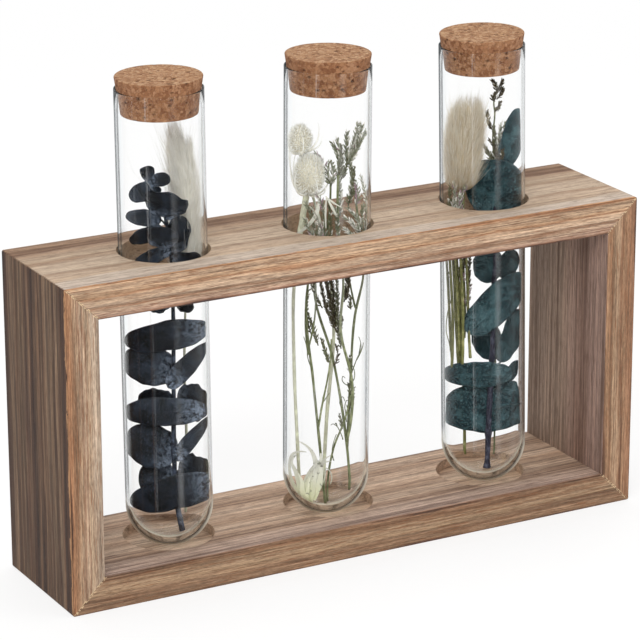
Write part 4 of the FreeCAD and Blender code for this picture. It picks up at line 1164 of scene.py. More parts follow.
# Root, tip, width, roll, cup, bend, wave, taper, tint.
LEFT_LEAVES = {
    "left_tip_foliage": [
        ((-0.28, 0.05, 0.796), (-0.34, 0.05, 0.832), 0.32, 14, 0, 0, 0.08, -0.45, 0.45),
        ((-0.22, 0.05, 0.802), (0.22, -0.1, 0.808), 0.33, -16, 0, 0, 0.03, 0, 0.5),
        ((-0.12, 0.05, 0.79), (-0.74, -0.1, 0.768), 0.45, 12, 0.05, 0.05, 0.05, 0, 0.5),
        ((-0.19, 0, 0.78), (0, -0.1, 0.787), 0.17, 0, 0, 0, 0.03, 0, 0.6),
        ((0.08, 0, 0.722), (0.11, -0.3, 0.785), 1.06, -12, -0.06, 0.05, 0.05, -0.15, 0.5),
        ((-0.02, 0.05, 0.716), (-0.84, -0.1, 0.73), 0.4, 18, 0.05, 0.05, 0.04, 0.1, 0.45),
        ((-0.02, 0.05, 0.701), (-0.76, -0.2, 0.678), 0.42, -16, 0.04, 0.04, 0.04, 0, 0.55),
        ((0, -0.1, 0.66), (0.03, -0.5, 0.716), 0.74, 0, -0.06, 0.05, 0.03, 0, 1.0),
        ((0.22, 0.05, 0.64), (0.43, -0.1, 0.728), 0.66, 20, -0.04, 0.05, 0.05, 0, 0.4),
        ((0.21, 0, 0.657), (-0.62, -0.5, 0.641), 0.45, -20, 0.04, 0.05, 0.04, 0, 1.0),
        ((0.2, 0, 0.633), (0.92, -0.4, 0.649), 0.35, 14, 0.04, 0.02, 0.04, 0, 0.5)],
    "left_middle_foliage": [
        ((0.18, 0.14, 0.539), (-0.34, -0.2, 0.535), 0.48, -18, 0.04, 0.05, 0.04, 0, 0.5),
        ((0.22, 0.14, 0.543), (0.7, -0.1, 0.531), 0.5, 22, 0.04, 0.05, 0.04, 0, 0.35),
        ((1.06, -0.06, 0.484), (-0.97, -0.12, 0.455), 0.8, -10, -0.04, 0.05, 0.03, 0.04, 0.6),
        ((0.21, 0.14, 0.379), (-1.03, -0.02, 0.418), 0.94, 12, -0.04, 0.04, 0.03, 0.05, 0.6),
        ((0.04, -0.1, 0.354), (1.03, -0.02, 0.449), 0.46, -20, 0.04, 0.04, 0.02, 0.3, 0.9),
        ((0.24, 0.22, 0.318), (1.01, 0.1, 0.312), 1.11, 18, 0.03, 0.05, 0.04, 0, 0.5),
        ((0.14, 0.26, 0.308), (-0.7, 0.2, 0.319), 0.78, -14, 0.03, 0.05, 0.04, 0, 0.3),
        ((0.99, -0.06, 0.3), (-1.02, -0.12, 0.301), 0.7, 8, -0.04, 0.05, 0.03, -0.06, 0.7)],
    "left_lower_foliage": [
        ((0.18, 0.14, 0.192), (-1.0, -0.05, 0.246), 1.05, 14, -0.04, 0.05, 0.04, 0.05, 0.6),
        ((0.16, -0.1, 0.19), (1.03, -0.02, 0.285), 0.35, -22, 0.02, 0.02, 0.02, 0.35, 0.9),
        ((0.22, 0.22, 0.156), (1.03, 0.1, 0.15), 1.2, 18, 0.03, 0.05, 0.04, 0, 0.5),
        ((1.3, -0.02, 0.142), (-0.94, -0.12, 0.094), 0.92, -8, -0.04, 0.04, 0.03, 0.04, 0.6),
        ((0.14, 0.26, 0.136), (-0.74, 0.2, 0.142), 0.89, 20, 0.03, 0.05, 0.04, 0, 0.75)],
}


def foliage(tube, stem, groups, finish):
    """All the leaves of each group as one piece, in place of that group's solids."""
    for name, rows in groups.items():
        skins = []
        for number, row in enumerate(rows):
            skins += leaf(stem, *row, seed=number + len(name))
        node = tube + "_eucalyptus_" + name.split("_")[1] + "_leaves"
        plant_piece(tube, name, skins, finish, [node])


DUSKY_STEM = stem_finish("dusky_bark", (20, 22, 28), (44, 48, 58), (90, 100, 120), 0.7)
plant_piece("left", "left_gum_stem", [LEFT_GUM.rod()], DUSKY_STEM, ["left_eucalyptus_stem"])
foliage("left", LEFT_GUM, LEFT_LEAVES, LEFT_LEAF)

# %% [markdown]
# ## Hair by the thousand
#
# A grass plume and a bunny tail are nothing but fine hairs. A particle system would grow them, but
# it is a second kind of thing that a mesh file can't hold. Each hair here is a three-sided rod along
# a curve with one bend: (1 - t) ** 2 * root + 2 t (1 - t) * middle + t ** 2 * tip, for all hairs at
# once. The hair's own parameter is kept in its UV map, to shade it from root to tip. Thin hair lets
# most of the light through, so the finish does too, and the inside of a head stays pale.

# %% Hairs and fluffy heads
HAIR_TIP = 0.15
CORE_SHARE = 0.9
HAIR_THROUGH = 0.12
# Thin hair stops only this share of the light that falls through a head.
HAIR_SHADOW = 0.35


def bent(roots, middles, tips, steps):
    """Curves with one bend between each root and tip."""
    t = np.linspace(0, 1, steps)[:, None]
    return (1 - t) ** 2 * roots[:, None] + 2 * t * (1 - t) * middles[:, None] + t ** 2 * tips[:, None]


def hairs(roots, middles, tips, thick, tints, steps=5, sides=3):
    """Tapering hairs along bent curves."""
    taper = np.linspace(1, HAIR_TIP, steps)
    return rods(bent(roots, middles, tips, steps), np.reshape(thick, (-1, 1)) * taper, sides, tint=tints)


def along_line(line, share):
    """Points at shares of a line's places."""
    grid = np.linspace(0, 1, len(line))
    return np.stack([np.interp(share, grid, line[:, axis]) for axis in range(3)], -1)


def fluffy_head(line, fullness, half_width, half_depth, hair, count, seed, thick, start, flare):
    """Hairs that rise along a line and open to a soft outline.

    Tip = line at a random share + outline there * random near one + a flick outward and up. Root =
    line one hair lower + start * outline there. Near the foot of the head the hairs are shorter.
    """
    rng = np.random.default_rng(seed)
    turn = rng.uniform(0, 2 * math.pi, count)
    tall = line[-1, 2] - line[0, 2]
    lengths = hair * rng.uniform(0.55, 1.15, count)
    reach = 0.05 + 0.95 * rng.random(count) ** 0.9
    share = np.maximum(reach - lengths / tall, 0)
    places_up, amounts = np.array(fullness).T
    outward = np.stack([np.cos(turn), np.sin(turn), 0 * turn], -1)
    out = outward * [half_width, half_depth, 0]
    full = np.interp(share, places_up, amounts)[:, None]
    full_tip = np.interp(reach, places_up, amounts)[:, None]
    roots = along_line(line, share) + out * full * start
    flick = (outward + 0.8 * UP) * (flare * lengths * rng.exponential(0.6, count))[:, None]
    tips = along_line(line, reach) + out * full_tip * rng.uniform(0.72, 1.04, (count, 1)) + flick
    tips = tips + rng.normal(0, 0.03, (count, 3)) * lengths[:, None]
    middles = 0.5 * (roots + tips) + out * full * 0.25
    return hairs(roots, middles, tips, thick * rng.uniform(0.7, 1.2, count), rng.random(count))


def head_core(line, fullness, radius):
    """A solid inside a head, so that no daylight shows through it."""
    line = line[:int(CORE_SHARE * len(line))]
    share = np.linspace(0, 1, len(line))
    closing = np.sqrt(1 - np.abs(1.9 * share - 0.9) ** 3 * 0.999)
    core = rods(line[None], (radius * closing * np.interp(share, *np.array(fullness).T))[None], 20)
    core["uv"] = core["uv"] * 0 + [0.3, 0]
    return core


def hair_finish(name, root, body, tip):
    """Colour from the root of a hair to its tip, a little different for each hair."""
    hair = Finish(name)
    run = hair.surface_places()[0]
    colour = hair.ramp(run, [(0.0, root), (0.5, body), (1.0, tip)])
    drift = hair.remap(hair.noise(hair.coordinates(), 130.0, 3.0, 0.6), 0.35, 0.65, 0.94, 1.04)
    shade = hair.times(hair.remap(hair.attribute("tint"), 0.0, 1.0, 0.84, 1.06), drift)
    colour = hair.scaled(colour, shade)
    lit = hair.surface(Base_Color=colour, Roughness=0.75, Specular_IOR_Level=0.2, Sheen_Weight=0.25)
    through = hair.add("ShaderNodeBsdfTranslucent", {"Color": colour})
    both = hair.mix_shaders(HAIR_THROUGH, lit, through.outputs[0])
    clear = hair.add("ShaderNodeBsdfTransparent")
    passing = hair.times(light_falling(hair), 1.0 - HAIR_SHADOW)
    return hair.done(hair.mix_shaders(passing, both, clear.outputs[0]))


# %% The plume
PLUME_LINE = smooth_path(places(
    (0.58, 0.46, 0.600), (0.57, 0.46, 0.668), (0.56, 0.46, 0.735), (0.53, 0.46, 0.790),
    (0.45, 0.46, 0.833), (0.33, 0.46, 0.872), (0.27, 0.46, 0.918)), 50)
PLUME_SIDE_LINE = smooth_path(places((0.60, 0.44, 0.790), (0.66, 0.44, 0.845), (0.66, 0.44, 0.888)), 20)
# How full a head is at shares of its length.
PLUME_FULLNESS = [(0.0, 0.75), (0.2, 0.95), (0.4, 1.0), (0.6, 0.95), (0.72, 0.76), (0.84, 0.42),
                  (0.93, 0.28), (1.0, 0.10)]
SIDE_FULLNESS = [(0.0, 1.0), (0.5, 0.6), (1.0, 0.12)]
PLUME_STALK = Stem([(0.36, 0.62, 0.05), (0.42, 0.66, 0.2), (0.42, 0.62, 0.4), (0.52, 0.52, 0.56),
                    (0.58, 0.46, 0.615)], 1.6 * MM, 0.6, seed=5)
PALE_STEM = stem_finish("straw_stem", (176, 174, 152), (210, 211, 190), (230, 233, 204), 0.2)
PLUME_HAIR = hair_finish("plume_hair", (236, 228, 208), (250, 246, 236), (246, 243, 237))
plume = fluffy_head(PLUME_LINE, PLUME_FULLNESS, 8.8 * MM, 6.4 * MM, hair=17 * MM, count=4200, seed=11,
                    thick=0.09 * MM, start=0.25, flare=0.10)
side_plume = fluffy_head(PLUME_SIDE_LINE, SIDE_FULLNESS, 3.2 * MM, 3.0 * MM, hair=11 * MM, count=800,
                         seed=12, thick=0.08 * MM, start=0.25, flare=0.10)
wisps = fluffy_head(PLUME_LINE, PLUME_FULLNESS, 9.0 * MM, 7.0 * MM, hair=15 * MM, count=700, seed=13,
                    thick=0.06 * MM, start=0.8, flare=0.45)
plume_core = head_core(PLUME_LINE, PLUME_FULLNESS, 4.2 * MM)
plant_piece("left", "left_plume_stalk", [PLUME_STALK.rod()], PALE_STEM, ["left_plume_stem"])
plant_piece("left", "left_plume_hair", [plume, side_plume, wisps, plume_core], PLUME_HAIR,
            ["left_plume_head"])

# %% [markdown]
# ## Seed balls
#
# The two round heads in the middle tube are packed with short spines, and long thin bracts curl up
# from under them. Spines are spread by the golden turn, which packs points on a ball evenly: the
# height falls by even steps while the turn grows by the golden angle.

# %% Seed balls
GOLDEN_TURN = math.pi * (3 - math.sqrt(5))
ROOT_SHARE = 0.88
CORE_HALF = 0.9
SPINE_LIFT = 0.45
SPINE_STRAY = 0.26
SPINE_THICK = 0.30 * MM
LONG_BRACT_STEPS = 22
LONG_BRACT_THICK = 0.44 * MM


def spiny_ball(middle, half, count, spine, seed):
    """A closed core and spines that lean upward.

    Normal = (flat cos turn, flat sin turn, rise). Root = middle + 0.88 * half * normal, and the
    tip lies about one spine further along normal + 0.45 * up + a small random stray.
    """
    rng = np.random.default_rng(seed)
    number = np.arange(count) + 0.5
    rise = 1 - 2 * number / count
    flat = np.sqrt(1 - rise ** 2)
    turn = number * GOLDEN_TURN + rng.normal(0, 0.12, count)
    normal = np.stack([flat * np.cos(turn), flat * np.sin(turn), rise], -1)
    roots = middle + normal * half * ROOT_SHARE
    way = normal + UP * SPINE_LIFT + rng.normal(0, SPINE_STRAY, (count, 3))
    way = way / np.linalg.norm(way, axis=-1, keepdims=True)
    tips = roots + way * spine * rng.uniform(0.75, 1.25, (count, 1))
    middles = 0.5 * (roots + tips) + normal * 0.12 * spine
    spines = hairs(roots, middles, tips, SPINE_THICK, rng.random(count), steps=4, sides=4)
    turn = np.linspace(math.pi, 0, 22)
    path = middle + UP * (np.cos(turn) * half[2] * CORE_HALF)[:, None]
    core = rods(path[None], (half[0] * CORE_HALF * np.maximum(np.sin(turn), 0.04))[None], 28, tint=0.3)
    core["uv"] = core["uv"] * 0
    return [spines, core]


def long_bracts(middle, half, rows, seed):
    """Long thin bracts from under a ball.

    Each is a curve through five places: the base of the ball, then out and up by growing shares
    of the ball's radius and of the bract's rise.
    """
    rng = np.random.default_rng(seed)
    base = middle - UP * half[2]
    run = np.linspace(0, 1, LONG_BRACT_STEPS)
    skins = []
    for turn, rise_mm, spread in rows:
        out = np.array([math.cos(turn), math.sin(turn), 0.0])
        rise = rise_mm * MM
        path = smooth_path([base, base + out * half[0] * 0.8 + UP * 0.10 * rise,
                            base + out * half[0] * (1.05 + spread) + UP * 0.45 * rise,
                            base + out * half[0] * (0.95 + 1.4 * spread) + UP * 0.8 * rise,
                            base + out * half[0] * (0.7 + 1.7 * spread) + UP * rise], LONG_BRACT_STEPS)
        width = LONG_BRACT_THICK * np.interp(run, [0, 0.2, 0.7, 1], [0.7, 1, 0.7, 0.2])
        skins.append(rods(path[None], width[None], 6, tint=rng.uniform(0.3, 0.9)))
    return skins


# %% The two seed balls
SEED_FINISH = hair_finish("seed_ball_spines", (232, 226, 207), (251, 249, 241), (254, 254, 252))
LOW_STALK = Stem([(-0.62, -0.10, 0.04), (-0.68, -0.16, 0.14), (-0.78, -0.18, 0.35), (-0.79, -0.14, 0.51),
                  (-0.64, -0.06, 0.64), (-0.48, 0, 0.712)], 1.6 * MM, 0.9, seed=7)
HIGH_STALK = Stem([(-0.06, 0.40, 0.03), (0.02, 0.42, 0.2), (0.18, 0.44, 0.41), (-0.16, 0.54, 0.64),
                   (-0.52, 0.48, 0.75), (-0.66, 0.16, 0.80)], 1.9 * MM, 0.6, seed=8)
LOW_NECK = Stem([(-0.70, -0.14, 0.60), (-0.60, -0.05, 0.66), (-0.50, 0, 0.715)], 2.6 * MM, 1.1,
                stands=False, seed=9)
LOW_HALF = np.array([7.0, 6.6, 9.9]) * MM
HIGH_HALF = np.array([5.1, 5.0, 6.8]) * MM
LOW_MIDDLE = places((-0.43, 0.0, 0.761))[0]
HIGH_MIDDLE = places((-0.66, 0.06, 0.836))[0]
# Long bracts under each ball: turn about it, rise in millimetres, and spread in its radii.
LOW_BRACTS = [(3.0, 32, 0.28), (3.3, 26, 0.2), (2.7, 21, 0.12), (3.7, 14, 0.05), (0.1, 13, 0.2),
              (-0.5, 7, 0.15), (5.2, 9, 0.1), (1.2, 16, 0.2), (2.1, 24, 0.1)]
HIGH_BRACTS = [(3.1, 15, 0.18), (0.0, 15, 0.55), (0.25, 8, 0.8), (3.6, 9, 0.12), (1.4, 12, 0.2),
               (5.0, 10, 0.1), (2.4, 13, 0.15)]
seed_stalks = [LOW_STALK.rod(), HIGH_STALK.rod(), LOW_NECK.rod(0.6, 16)]
plant_piece("middle", "middle_seed_stalks", seed_stalks, PALE_STEM, ["middle_seed_stems"])
low_bracts = long_bracts(LOW_MIDDLE, LOW_HALF, LOW_BRACTS, 3)
high_bracts = long_bracts(HIGH_MIDDLE, HIGH_HALF, HIGH_BRACTS, 4)
low_ball = spiny_ball(LOW_MIDDLE, LOW_HALF, count=1000, spine=2.0 * MM, seed=21)
high_ball = spiny_ball(HIGH_MIDDLE, HIGH_HALF, count=620, spine=1.9 * MM, seed=22)
plant_piece("middle", "middle_lower_seed_ball", low_ball + low_bracts, SEED_FINISH,
            ["middle_lower_seed_head"])
plant_piece("middle", "middle_upper_seed_ball", high_ball + high_bracts, SEED_FINISH,
            ["middle_upper_seed_head"])

# %% [markdown]
# ## Torn leaf and curled strip
#
# At the foot of the middle tube stands a pale dry leaf, torn into strips that curl. Each strip is a
# rod pressed flat: a ring that is wide across and thin towards the viewer, whose width swells and
# shrinks along a given path. Several strips share one broad base.

# %% Torn strips
# Path in shares of the tube, half widths along it in millimetres, and tint.
TORN_STRIPS = [
    ([(-0.42, -0.5, 0.02), (-0.42, -0.5, 0.06), (-0.36, -0.52, 0.095), (-0.24, -0.53, 0.125)],
     (1.5, 3.5, 2.9, 0.8), 0.75),
    ([(-0.3, -0.5, 0.04), (-0.18, -0.52, 0.075), (-0.12, -0.53, 0.12), (-0.12, -0.52, 0.15)],
     (1.2, 1.7, 1.4, 0.3), 0.85),
    ([(-0.3, -0.53, 0.085), (-0.24, -0.54, 0.128), (-0.4, -0.54, 0.162), (-0.66, -0.52, 0.177)],
     (1.5, 1.4, 0.8, 0.2), 0.6),
    ([(-0.6, -0.46, 0.045), (-0.84, -0.42, 0.085), (-0.9, -0.4, 0.12), (-0.76, -0.42, 0.147),
      (-0.47, -0.44, 0.15)],
     (1.6, 0.9, 1.3, 0.8, 0.2), 0.4),
    ([(-0.6, -0.5, 0.06), (-0.72, -0.46, 0.105), (-0.82, -0.42, 0.128), (-0.72, -0.4, 0.142)],
     (1.8, 1.2, 0.8, 0.3), 0.5),
    ([(-0.54, -0.55, 0.08), (-0.36, -0.57, 0.113), (-0.15, -0.57, 0.133)], (0.5, 0.7, 0.9), 0.35),
    ([(-0.1, -0.55, 0.125), (0, -0.58, 0.14), (0.13, -0.58, 0.147)], (0.7, 0.4, 0.15), 0.3),
    ([(-0.1, -0.55, 0.12), (0.02, -0.6, 0.133), (0.14, -0.61, 0.134)], (0.7, 0.4, 0.15), 0.3),
    ([(-0.5, -0.54, 0.026), (-0.56, -0.56, 0.06), (-0.58, -0.56, 0.086), (-0.66, -0.54, 0.104)],
     (1.1, 1.5, 1.0, 0.3), 0.9),
    ([(-0.46, -0.55, 0.024), (-0.44, -0.58, 0.062), (-0.38, -0.58, 0.094)], (0.9, 1.0, 0.3), 1.0),
    ([(-0.16, -0.5, 0.06), (-0.02, -0.5, 0.095), (0.02, -0.52, 0.116), (0.1, -0.5, 0.108),
      (0.11, -0.48, 0.075)],
     (0.5, 0.35, 0.3, 0.3, 0.2), 0.15),
]
CURLED_STRIP = [
    ([(-0.2, -0.4, 0.716), (-0.24, -0.44, 0.69), (-0.42, -0.46, 0.664), (-0.74, -0.4, 0.64)],
     (0.6, 0.9, 0.8, 0.4), 0.75),
    ([(-0.04, -0.42, 0.724), (0.12, -0.44, 0.712), (0.34, -0.42, 0.7)], (0.3, 0.45, 0.2), 0.8),
    ([(0, -0.46, 0.72), (0.12, -0.48, 0.7), (0.24, -0.48, 0.68)], (0.4, 0.6, 0.3), 0.8),
    ([(-0.02, -0.44, 0.722), (-0.04, -0.46, 0.69), (-0.03, -0.48, 0.655)], (0.3, 0.45, 0.3), 0.7),
]
STRIP_THIN = 0.13
STRIP_THINNEST = 0.15 * MM
STRIP_CURL = 0.25
STRIP_STEPS = 34
STRIP_AROUND = 16


def strip(shares, half_widths, tint):
    """A flat ribbon that faces the front.

    Point = path + wide * cos turn * side + (thin * sin turn + curl * cos turn squared) * lift.
    """
    path = smooth_path(places(*shares), STRIP_STEPS)
    run = np.linspace(0, 1, STRIP_STEPS)
    wide = np.interp(run, np.linspace(0, 1, len(half_widths)), np.array(half_widths) * MM)
    wide = wide[None, :, None, None]
    side, lift = crosswise(path[None], [0, 1, 0])
    turn = np.linspace(0, 2 * math.pi, STRIP_AROUND, endpoint=False)[:, None]
    thin = np.maximum(STRIP_THIN * wide, STRIP_THINNEST)
    curl = STRIP_CURL * wide * np.cos(turn) ** 2
    ring = path[None, :, None] + wide * np.cos(turn) * side[:, :, None] + (
        thin * np.sin(turn) + curl) * lift[:, :, None]
    across = (np.cos(turn[:, 0]) + 1)[None, None] / 2
    uv = np.stack(np.broadcast_arrays(run[None, :, None], across), -1)
    return skin(ring, uv, tint)


def pale_leaf_finish():
    """Bleached leaf: fine ribs along it, greener at the foot of the tube."""
    dry = Finish("bleached_leaf")
    place = dry.coordinates()
    across = dry.surface_places()[1]
    ribs = dry.noise(dry.add("ShaderNodeCombineXYZ", {0: across}).outputs[0], 26.0, 2.0, 0.6)
    colour = dry.mix(dry.remap(ribs, 0.35, 0.65), paint(190, 188, 174), paint(234, 233, 223))
    height = dry.split(place)[2]
    green = dry.remap(height, 16 * MM, 40 * MM, 0.75, 0.0, "SMOOTHSTEP")
    colour = dry.mix(green, colour, paint(224, 228, 180))
    spots = dry.noise(place, 420.0, 2.0, 0.5)
    colour = dry.mix(dry.remap(spots, 0.66, 0.70, 0.0, 0.8), colour, paint(120, 122, 104))
    shade = dry.remap(dry.attribute("tint"), 0.0, 1.0, 0.68, 1.15)
    colour = dry.scaled(colour, shade)
    normal = dry.bump(ribs, 0.15 * MM, 0.7)
    return dry.done(dry.surface(Base_Color=colour, Roughness=0.6, Normal=normal, Specular_IOR_Level=0.35))


BLEACHED = pale_leaf_finish()
plant_piece("middle", "middle_torn_blade", [strip(*row) for row in TORN_STRIPS], BLEACHED,
            ["middle_torn_leaf"])
plant_piece("middle", "middle_curled_ribbon", [strip(*row) for row in CURLED_STRIP], BLEACHED,
            ["middle_curled_strip"])

# %% [markdown]
# ## Sprays of small bracts
#
# Sea lavender carries hundreds of tiny bracts on thin twigs: grey-green below, some with papery
# white or lilac tips, and dark dry seed further down. A spray is a path with bracts set round it by
# the golden turn, each leaning forward. How dark, green, white or lilac each one is goes in its tint.

# %% Sprays
# Lowest and highest tint, share of white ones, share of lilac ones.
SPRAY_KINDS = {"dark": (0.02, 0.22, 0.02, 0.0), "olive": (0.18, 0.44, 0.08, 0.0),
               "green": (0.30, 0.60, 0.20, 0.02), "grey": (0.42, 0.66, 0.34, 0.03),
               "white": (0.45, 0.66, 0.62, 0.02), "lilac": (0.40, 0.60, 0.25, 0.5)}
WHITE_TINT, LILAC_TINT = 0.78, 0.95
DRY_KINDS = ("dark", "olive")
DRY_BRACT, FRESH_BRACT = 2.6 * MM, 3.4 * MM
BRACT_THICK = 0.34 * MM
BRACT_OUTLINE = np.array([0.4, 1.0, 1.0, 0.7, 0.12])
# Degrees between a bract and its twig.
BRACT_SPREAD = 32
SPRAY_STEPS = 26
SPRAY_TWIG = 0.32 * MM
# Colours by tint: dark seed, green, grey, papery white, lilac.
BRACT_COLOURS = [(0.0, (58, 48, 38)), (0.12, (88, 78, 58)), (0.3, (110, 110, 80)), (0.45, (134, 138, 114)),
                 (0.62, (176, 178, 162)), (0.7, (226, 222, 212)), (0.86, (232, 229, 222)),
                 (0.9, (158, 130, 134)), (1.0, (174, 152, 160))]


def spray(shares, kind, count, length, seed):
    """Bracts round a short twig.

    Bract way = cos(spread) * way of the twig + sin(spread) * (cos turn * side + sin turn * lift),
    and its length shrinks towards the tip of the twig.
    """
    rng = np.random.default_rng(seed)
    line = smooth_path(places(*shares), SPRAY_STEPS)
    along = np.linspace(0.06, 1, count)
    side, lift = (item[0] for item in crosswise(line[None]))
    way = np.gradient(line, axis=0)
    way = way / np.linalg.norm(way, axis=-1, keepdims=True)
    here, way, side, lift = (along_line(item, along) for item in (line, way, side, lift))
    turn = np.arange(count) * GOLDEN_TURN + rng.normal(0, 0.3, count)
    out = np.cos(turn)[:, None] * side + np.sin(turn)[:, None] * lift
    lean = np.radians(BRACT_SPREAD * rng.uniform(0.6, 1.35, count))[:, None]
    size = (length * (1 - 0.4 * along) * rng.uniform(0.7, 1.2, count))[:, None]
    tips = here + (np.cos(lean) * way + np.sin(lean) * out) * size
    middles = 0.5 * (here + tips) + out * 0.16 * size
    low, high, white, lilac = SPRAY_KINDS[kind]
    tints = rng.uniform(low, high, count)
    pick = rng.random(count)
    tints = np.where(pick < white, WHITE_TINT, np.where(pick < white + lilac, LILAC_TINT, tints))
    paths = bent(here, middles, tips, len(BRACT_OUTLINE))
    width = BRACT_THICK * rng.uniform(0.75, 1.25, (count, 1)) * BRACT_OUTLINE
    twig = rods(line[None], SPRAY_TWIG * np.linspace(1, 0.5, SPRAY_STEPS)[None], 6, tint=low + 0.1)
    return [rods(paths, width, 4, squash=0.55, tint=tints), twig]


def spray_finish():
    """One colour line for all the bracts, with painted shade that darkens each towards its base."""
    bract = Finish("sea_lavender")
    run = bract.surface_places()[0]
    colour = bract.ramp(bract.attribute("tint"), BRACT_COLOURS)
    # Painted shade: a bract is darker towards its base, where it meets the twig.
    painted_base_shade = bract.remap(run, 0.0, 0.45, 0.55, 1.0)
    drift = bract.remap(bract.noise(bract.coordinates(), 900.0, 2.0, 0.6), 0.35, 0.65, 0.72, 1.22)
    colour = bract.scaled(colour, bract.times(painted_base_shade, drift))
    return bract.done(bract.surface(Base_Color=colour, Roughness=0.7, Specular_IOR_Level=0.25))


# Path in shares of the tube, kind, and number of bracts.
MIDDLE_SPRAYS = [
    ([(0.46, 0.21, 0.78), (0.45, 0.21, 0.815), (0.47, 0.21, 0.848)], "green", 44),
    ([(0.47, 0.15, 0.785), (0.62, 0.15, 0.83), (0.73, 0.15, 0.868)], "grey", 60),
    ([(0.49, 0.1, 0.79), (0.7, 0.1, 0.83), (0.82, 0.1, 0.866)], "grey", 60),
    ([(0.51, 0, 0.79), (0.74, 0, 0.83), (0.9, 0, 0.853)], "grey", 56),
    ([(0.5, -0.1, 0.785), (0.66, -0.1, 0.815), (0.8, -0.1, 0.84)], "green", 50),
    ([(0.32, 0.12, 0.745), (0.44, 0.1, 0.775), (0.52, 0.08, 0.8)], "olive", 50),
    ([(0.24, 0.21, 0.745), (0.27, 0.21, 0.79), (0.12, 0.21, 0.824)], "green", 56),
    ([(0.26, 0.15, 0.75), (0.31, 0.15, 0.795), (0.22, 0.15, 0.833)], "grey", 50),
    ([(0.28, 0.1, 0.755), (0.34, 0.1, 0.795), (0.33, 0.1, 0.823)], "olive", 46),
    ([(0.09, 0, 0.738), (0, 0, 0.765), (0.05, 0, 0.788)], "green", 36),
    ([(0.09, 0.05, 0.735), (0.14, 0.05, 0.762), (0.12, 0.05, 0.784)], "grey", 32),
    ([(-0.06, 0.12, 0.765), (-0.16, 0.12, 0.79), (-0.28, 0.12, 0.804)], "lilac", 30),
    ([(0.5, 0.05, 0.69), (0.58, 0.05, 0.745), (0.56, 0.05, 0.782)], "green", 56),
    ([(0.52, 0, 0.7), (0.63, 0, 0.745), (0.64, 0, 0.777)], "olive", 46),
    ([(0.31, 0, 0.67), (0.31, 0, 0.72), (0.28, 0, 0.752)], "grey", 44),
    ([(0.84, -0.21, 0.62), (0.93, -0.21, 0.685), (0.9, -0.21, 0.722), (0.78, -0.21, 0.764)], "white", 60),
    ([(0.68, -0.31, 0.7), (0.72, -0.31, 0.73), (0.67, -0.31, 0.75)], "lilac", 26),
    ([(0.8, -0.48, 0.64), (0.62, -0.52, 0.665), (0.42, -0.52, 0.68)], "white", 40),
    ([(0.76, -0.46, 0.625), (0.58, -0.52, 0.642), (0.4, -0.52, 0.654)], "white", 40),
    ([(0.8, -0.38, 0.645), (0.67, -0.41, 0.68), (0.5, -0.41, 0.697)], "grey", 40),
    ([(0.74, -0.3, 0.6), (0.8, -0.35, 0.65), (0.84, -0.3, 0.7)], "green", 50),
    ([(-0.2, -0.41, 0.61), (-0.33, -0.41, 0.67), (-0.5, -0.41, 0.71)], "green", 56),
    ([(-0.16, -0.46, 0.6), (-0.21, -0.46, 0.67), (-0.36, -0.46, 0.7)], "white", 50),
    ([(-0.08, -0.31, 0.6), (-0.07, -0.31, 0.67), (-0.13, -0.31, 0.71)], "green", 56),
    ([(-0.24, -0.5, 0.62), (-0.4, -0.5, 0.65), (-0.52, -0.5, 0.675)], "grey", 40),
    ([(0.06, -0.21, 0.6), (0.08, -0.21, 0.67), (0.03, -0.21, 0.706)], "olive", 56),
    ([(-0.1, -0.41, 0.69), (-0.2, -0.41, 0.72), (-0.26, -0.41, 0.728)], "lilac", 22),
    ([(0, -0.46, 0.58), (-0.1, -0.5, 0.62), (-0.16, -0.5, 0.66)], "lilac", 34),
    ([(0.3, -0.2, 0.58), (0.26, -0.2, 0.64), (0.2, -0.15, 0.69)], "green", 56),
    ([(0.24, 0, 0.41), (0.1, 0, 0.47), (-0.05, 0, 0.55)], "dark", 110),
    ([(0.25, -0.1, 0.415), (0.02, -0.1, 0.463), (-0.16, -0.1, 0.54)], "dark", 110),
    ([(0.28, 0.1, 0.41), (0.18, 0.1, 0.473), (0.1, 0.1, 0.56)], "dark", 110),
    ([(0.29, 0, 0.4), (0.26, 0, 0.472), (0.24, 0, 0.56)], "olive", 110),
    ([(0.2, 0.05, 0.44), (0.06, 0.05, 0.49), (-0.02, 0.05, 0.57)], "dark", 90),
    ([(0.42, 0, 0.478), (0.48, 0, 0.5), (0.44, 0, 0.55)], "dark", 80),
    ([(0.44, -0.05, 0.49), (0.52, -0.05, 0.52), (0.5, -0.05, 0.57)], "dark", 60),
    ([(0.59, 0, 0.462), (0.57, 0, 0.478), (0.58, 0, 0.49)], "olive", 20),
    ([(0.28, 0, 0.412), (0.35, 0, 0.428), (0.36, 0, 0.443)], "dark", 26),
    ([(-0.36, -0.21, 0.41), (-0.48, -0.21, 0.462), (-0.43, -0.21, 0.51)], "olive", 44),
    ([(-0.2, -0.21, 0.386), (-0.33, -0.21, 0.428), (-0.45, -0.21, 0.458)], "olive", 50),
    ([(0.09, -0.21, 0.345), (-0.03, -0.21, 0.374), (-0.11, -0.21, 0.4)], "olive", 46),
    ([(-0.1, -0.2, 0.47), (-0.3, -0.2, 0.51), (-0.36, -0.2, 0.56)], "olive", 60),
    ([(0.19, 0, 0.334), (0.28, 0, 0.357), (0.24, 0, 0.38)], "dark", 20),
    ([(0.63, 0, 0.318), (0.57, 0, 0.335), (0.6, 0, 0.358)], "olive", 16),
    ([(0.62, 0, 0.25), (0.6, 0, 0.272), (0.57, 0, 0.292)], "olive", 44),
    ([(0.55, 0.05, 0.23), (0.63, 0.05, 0.257), (0.67, 0.05, 0.28)], "olive", 26),
    ([(0.41, 0, 0.19), (0.37, 0, 0.208), (0.33, 0, 0.222)], "olive", 18),
    ([(0.36, 0.1, 0.37), (0.31, 0.08, 0.4), (0.28, 0.06, 0.43)], "olive", 50)]


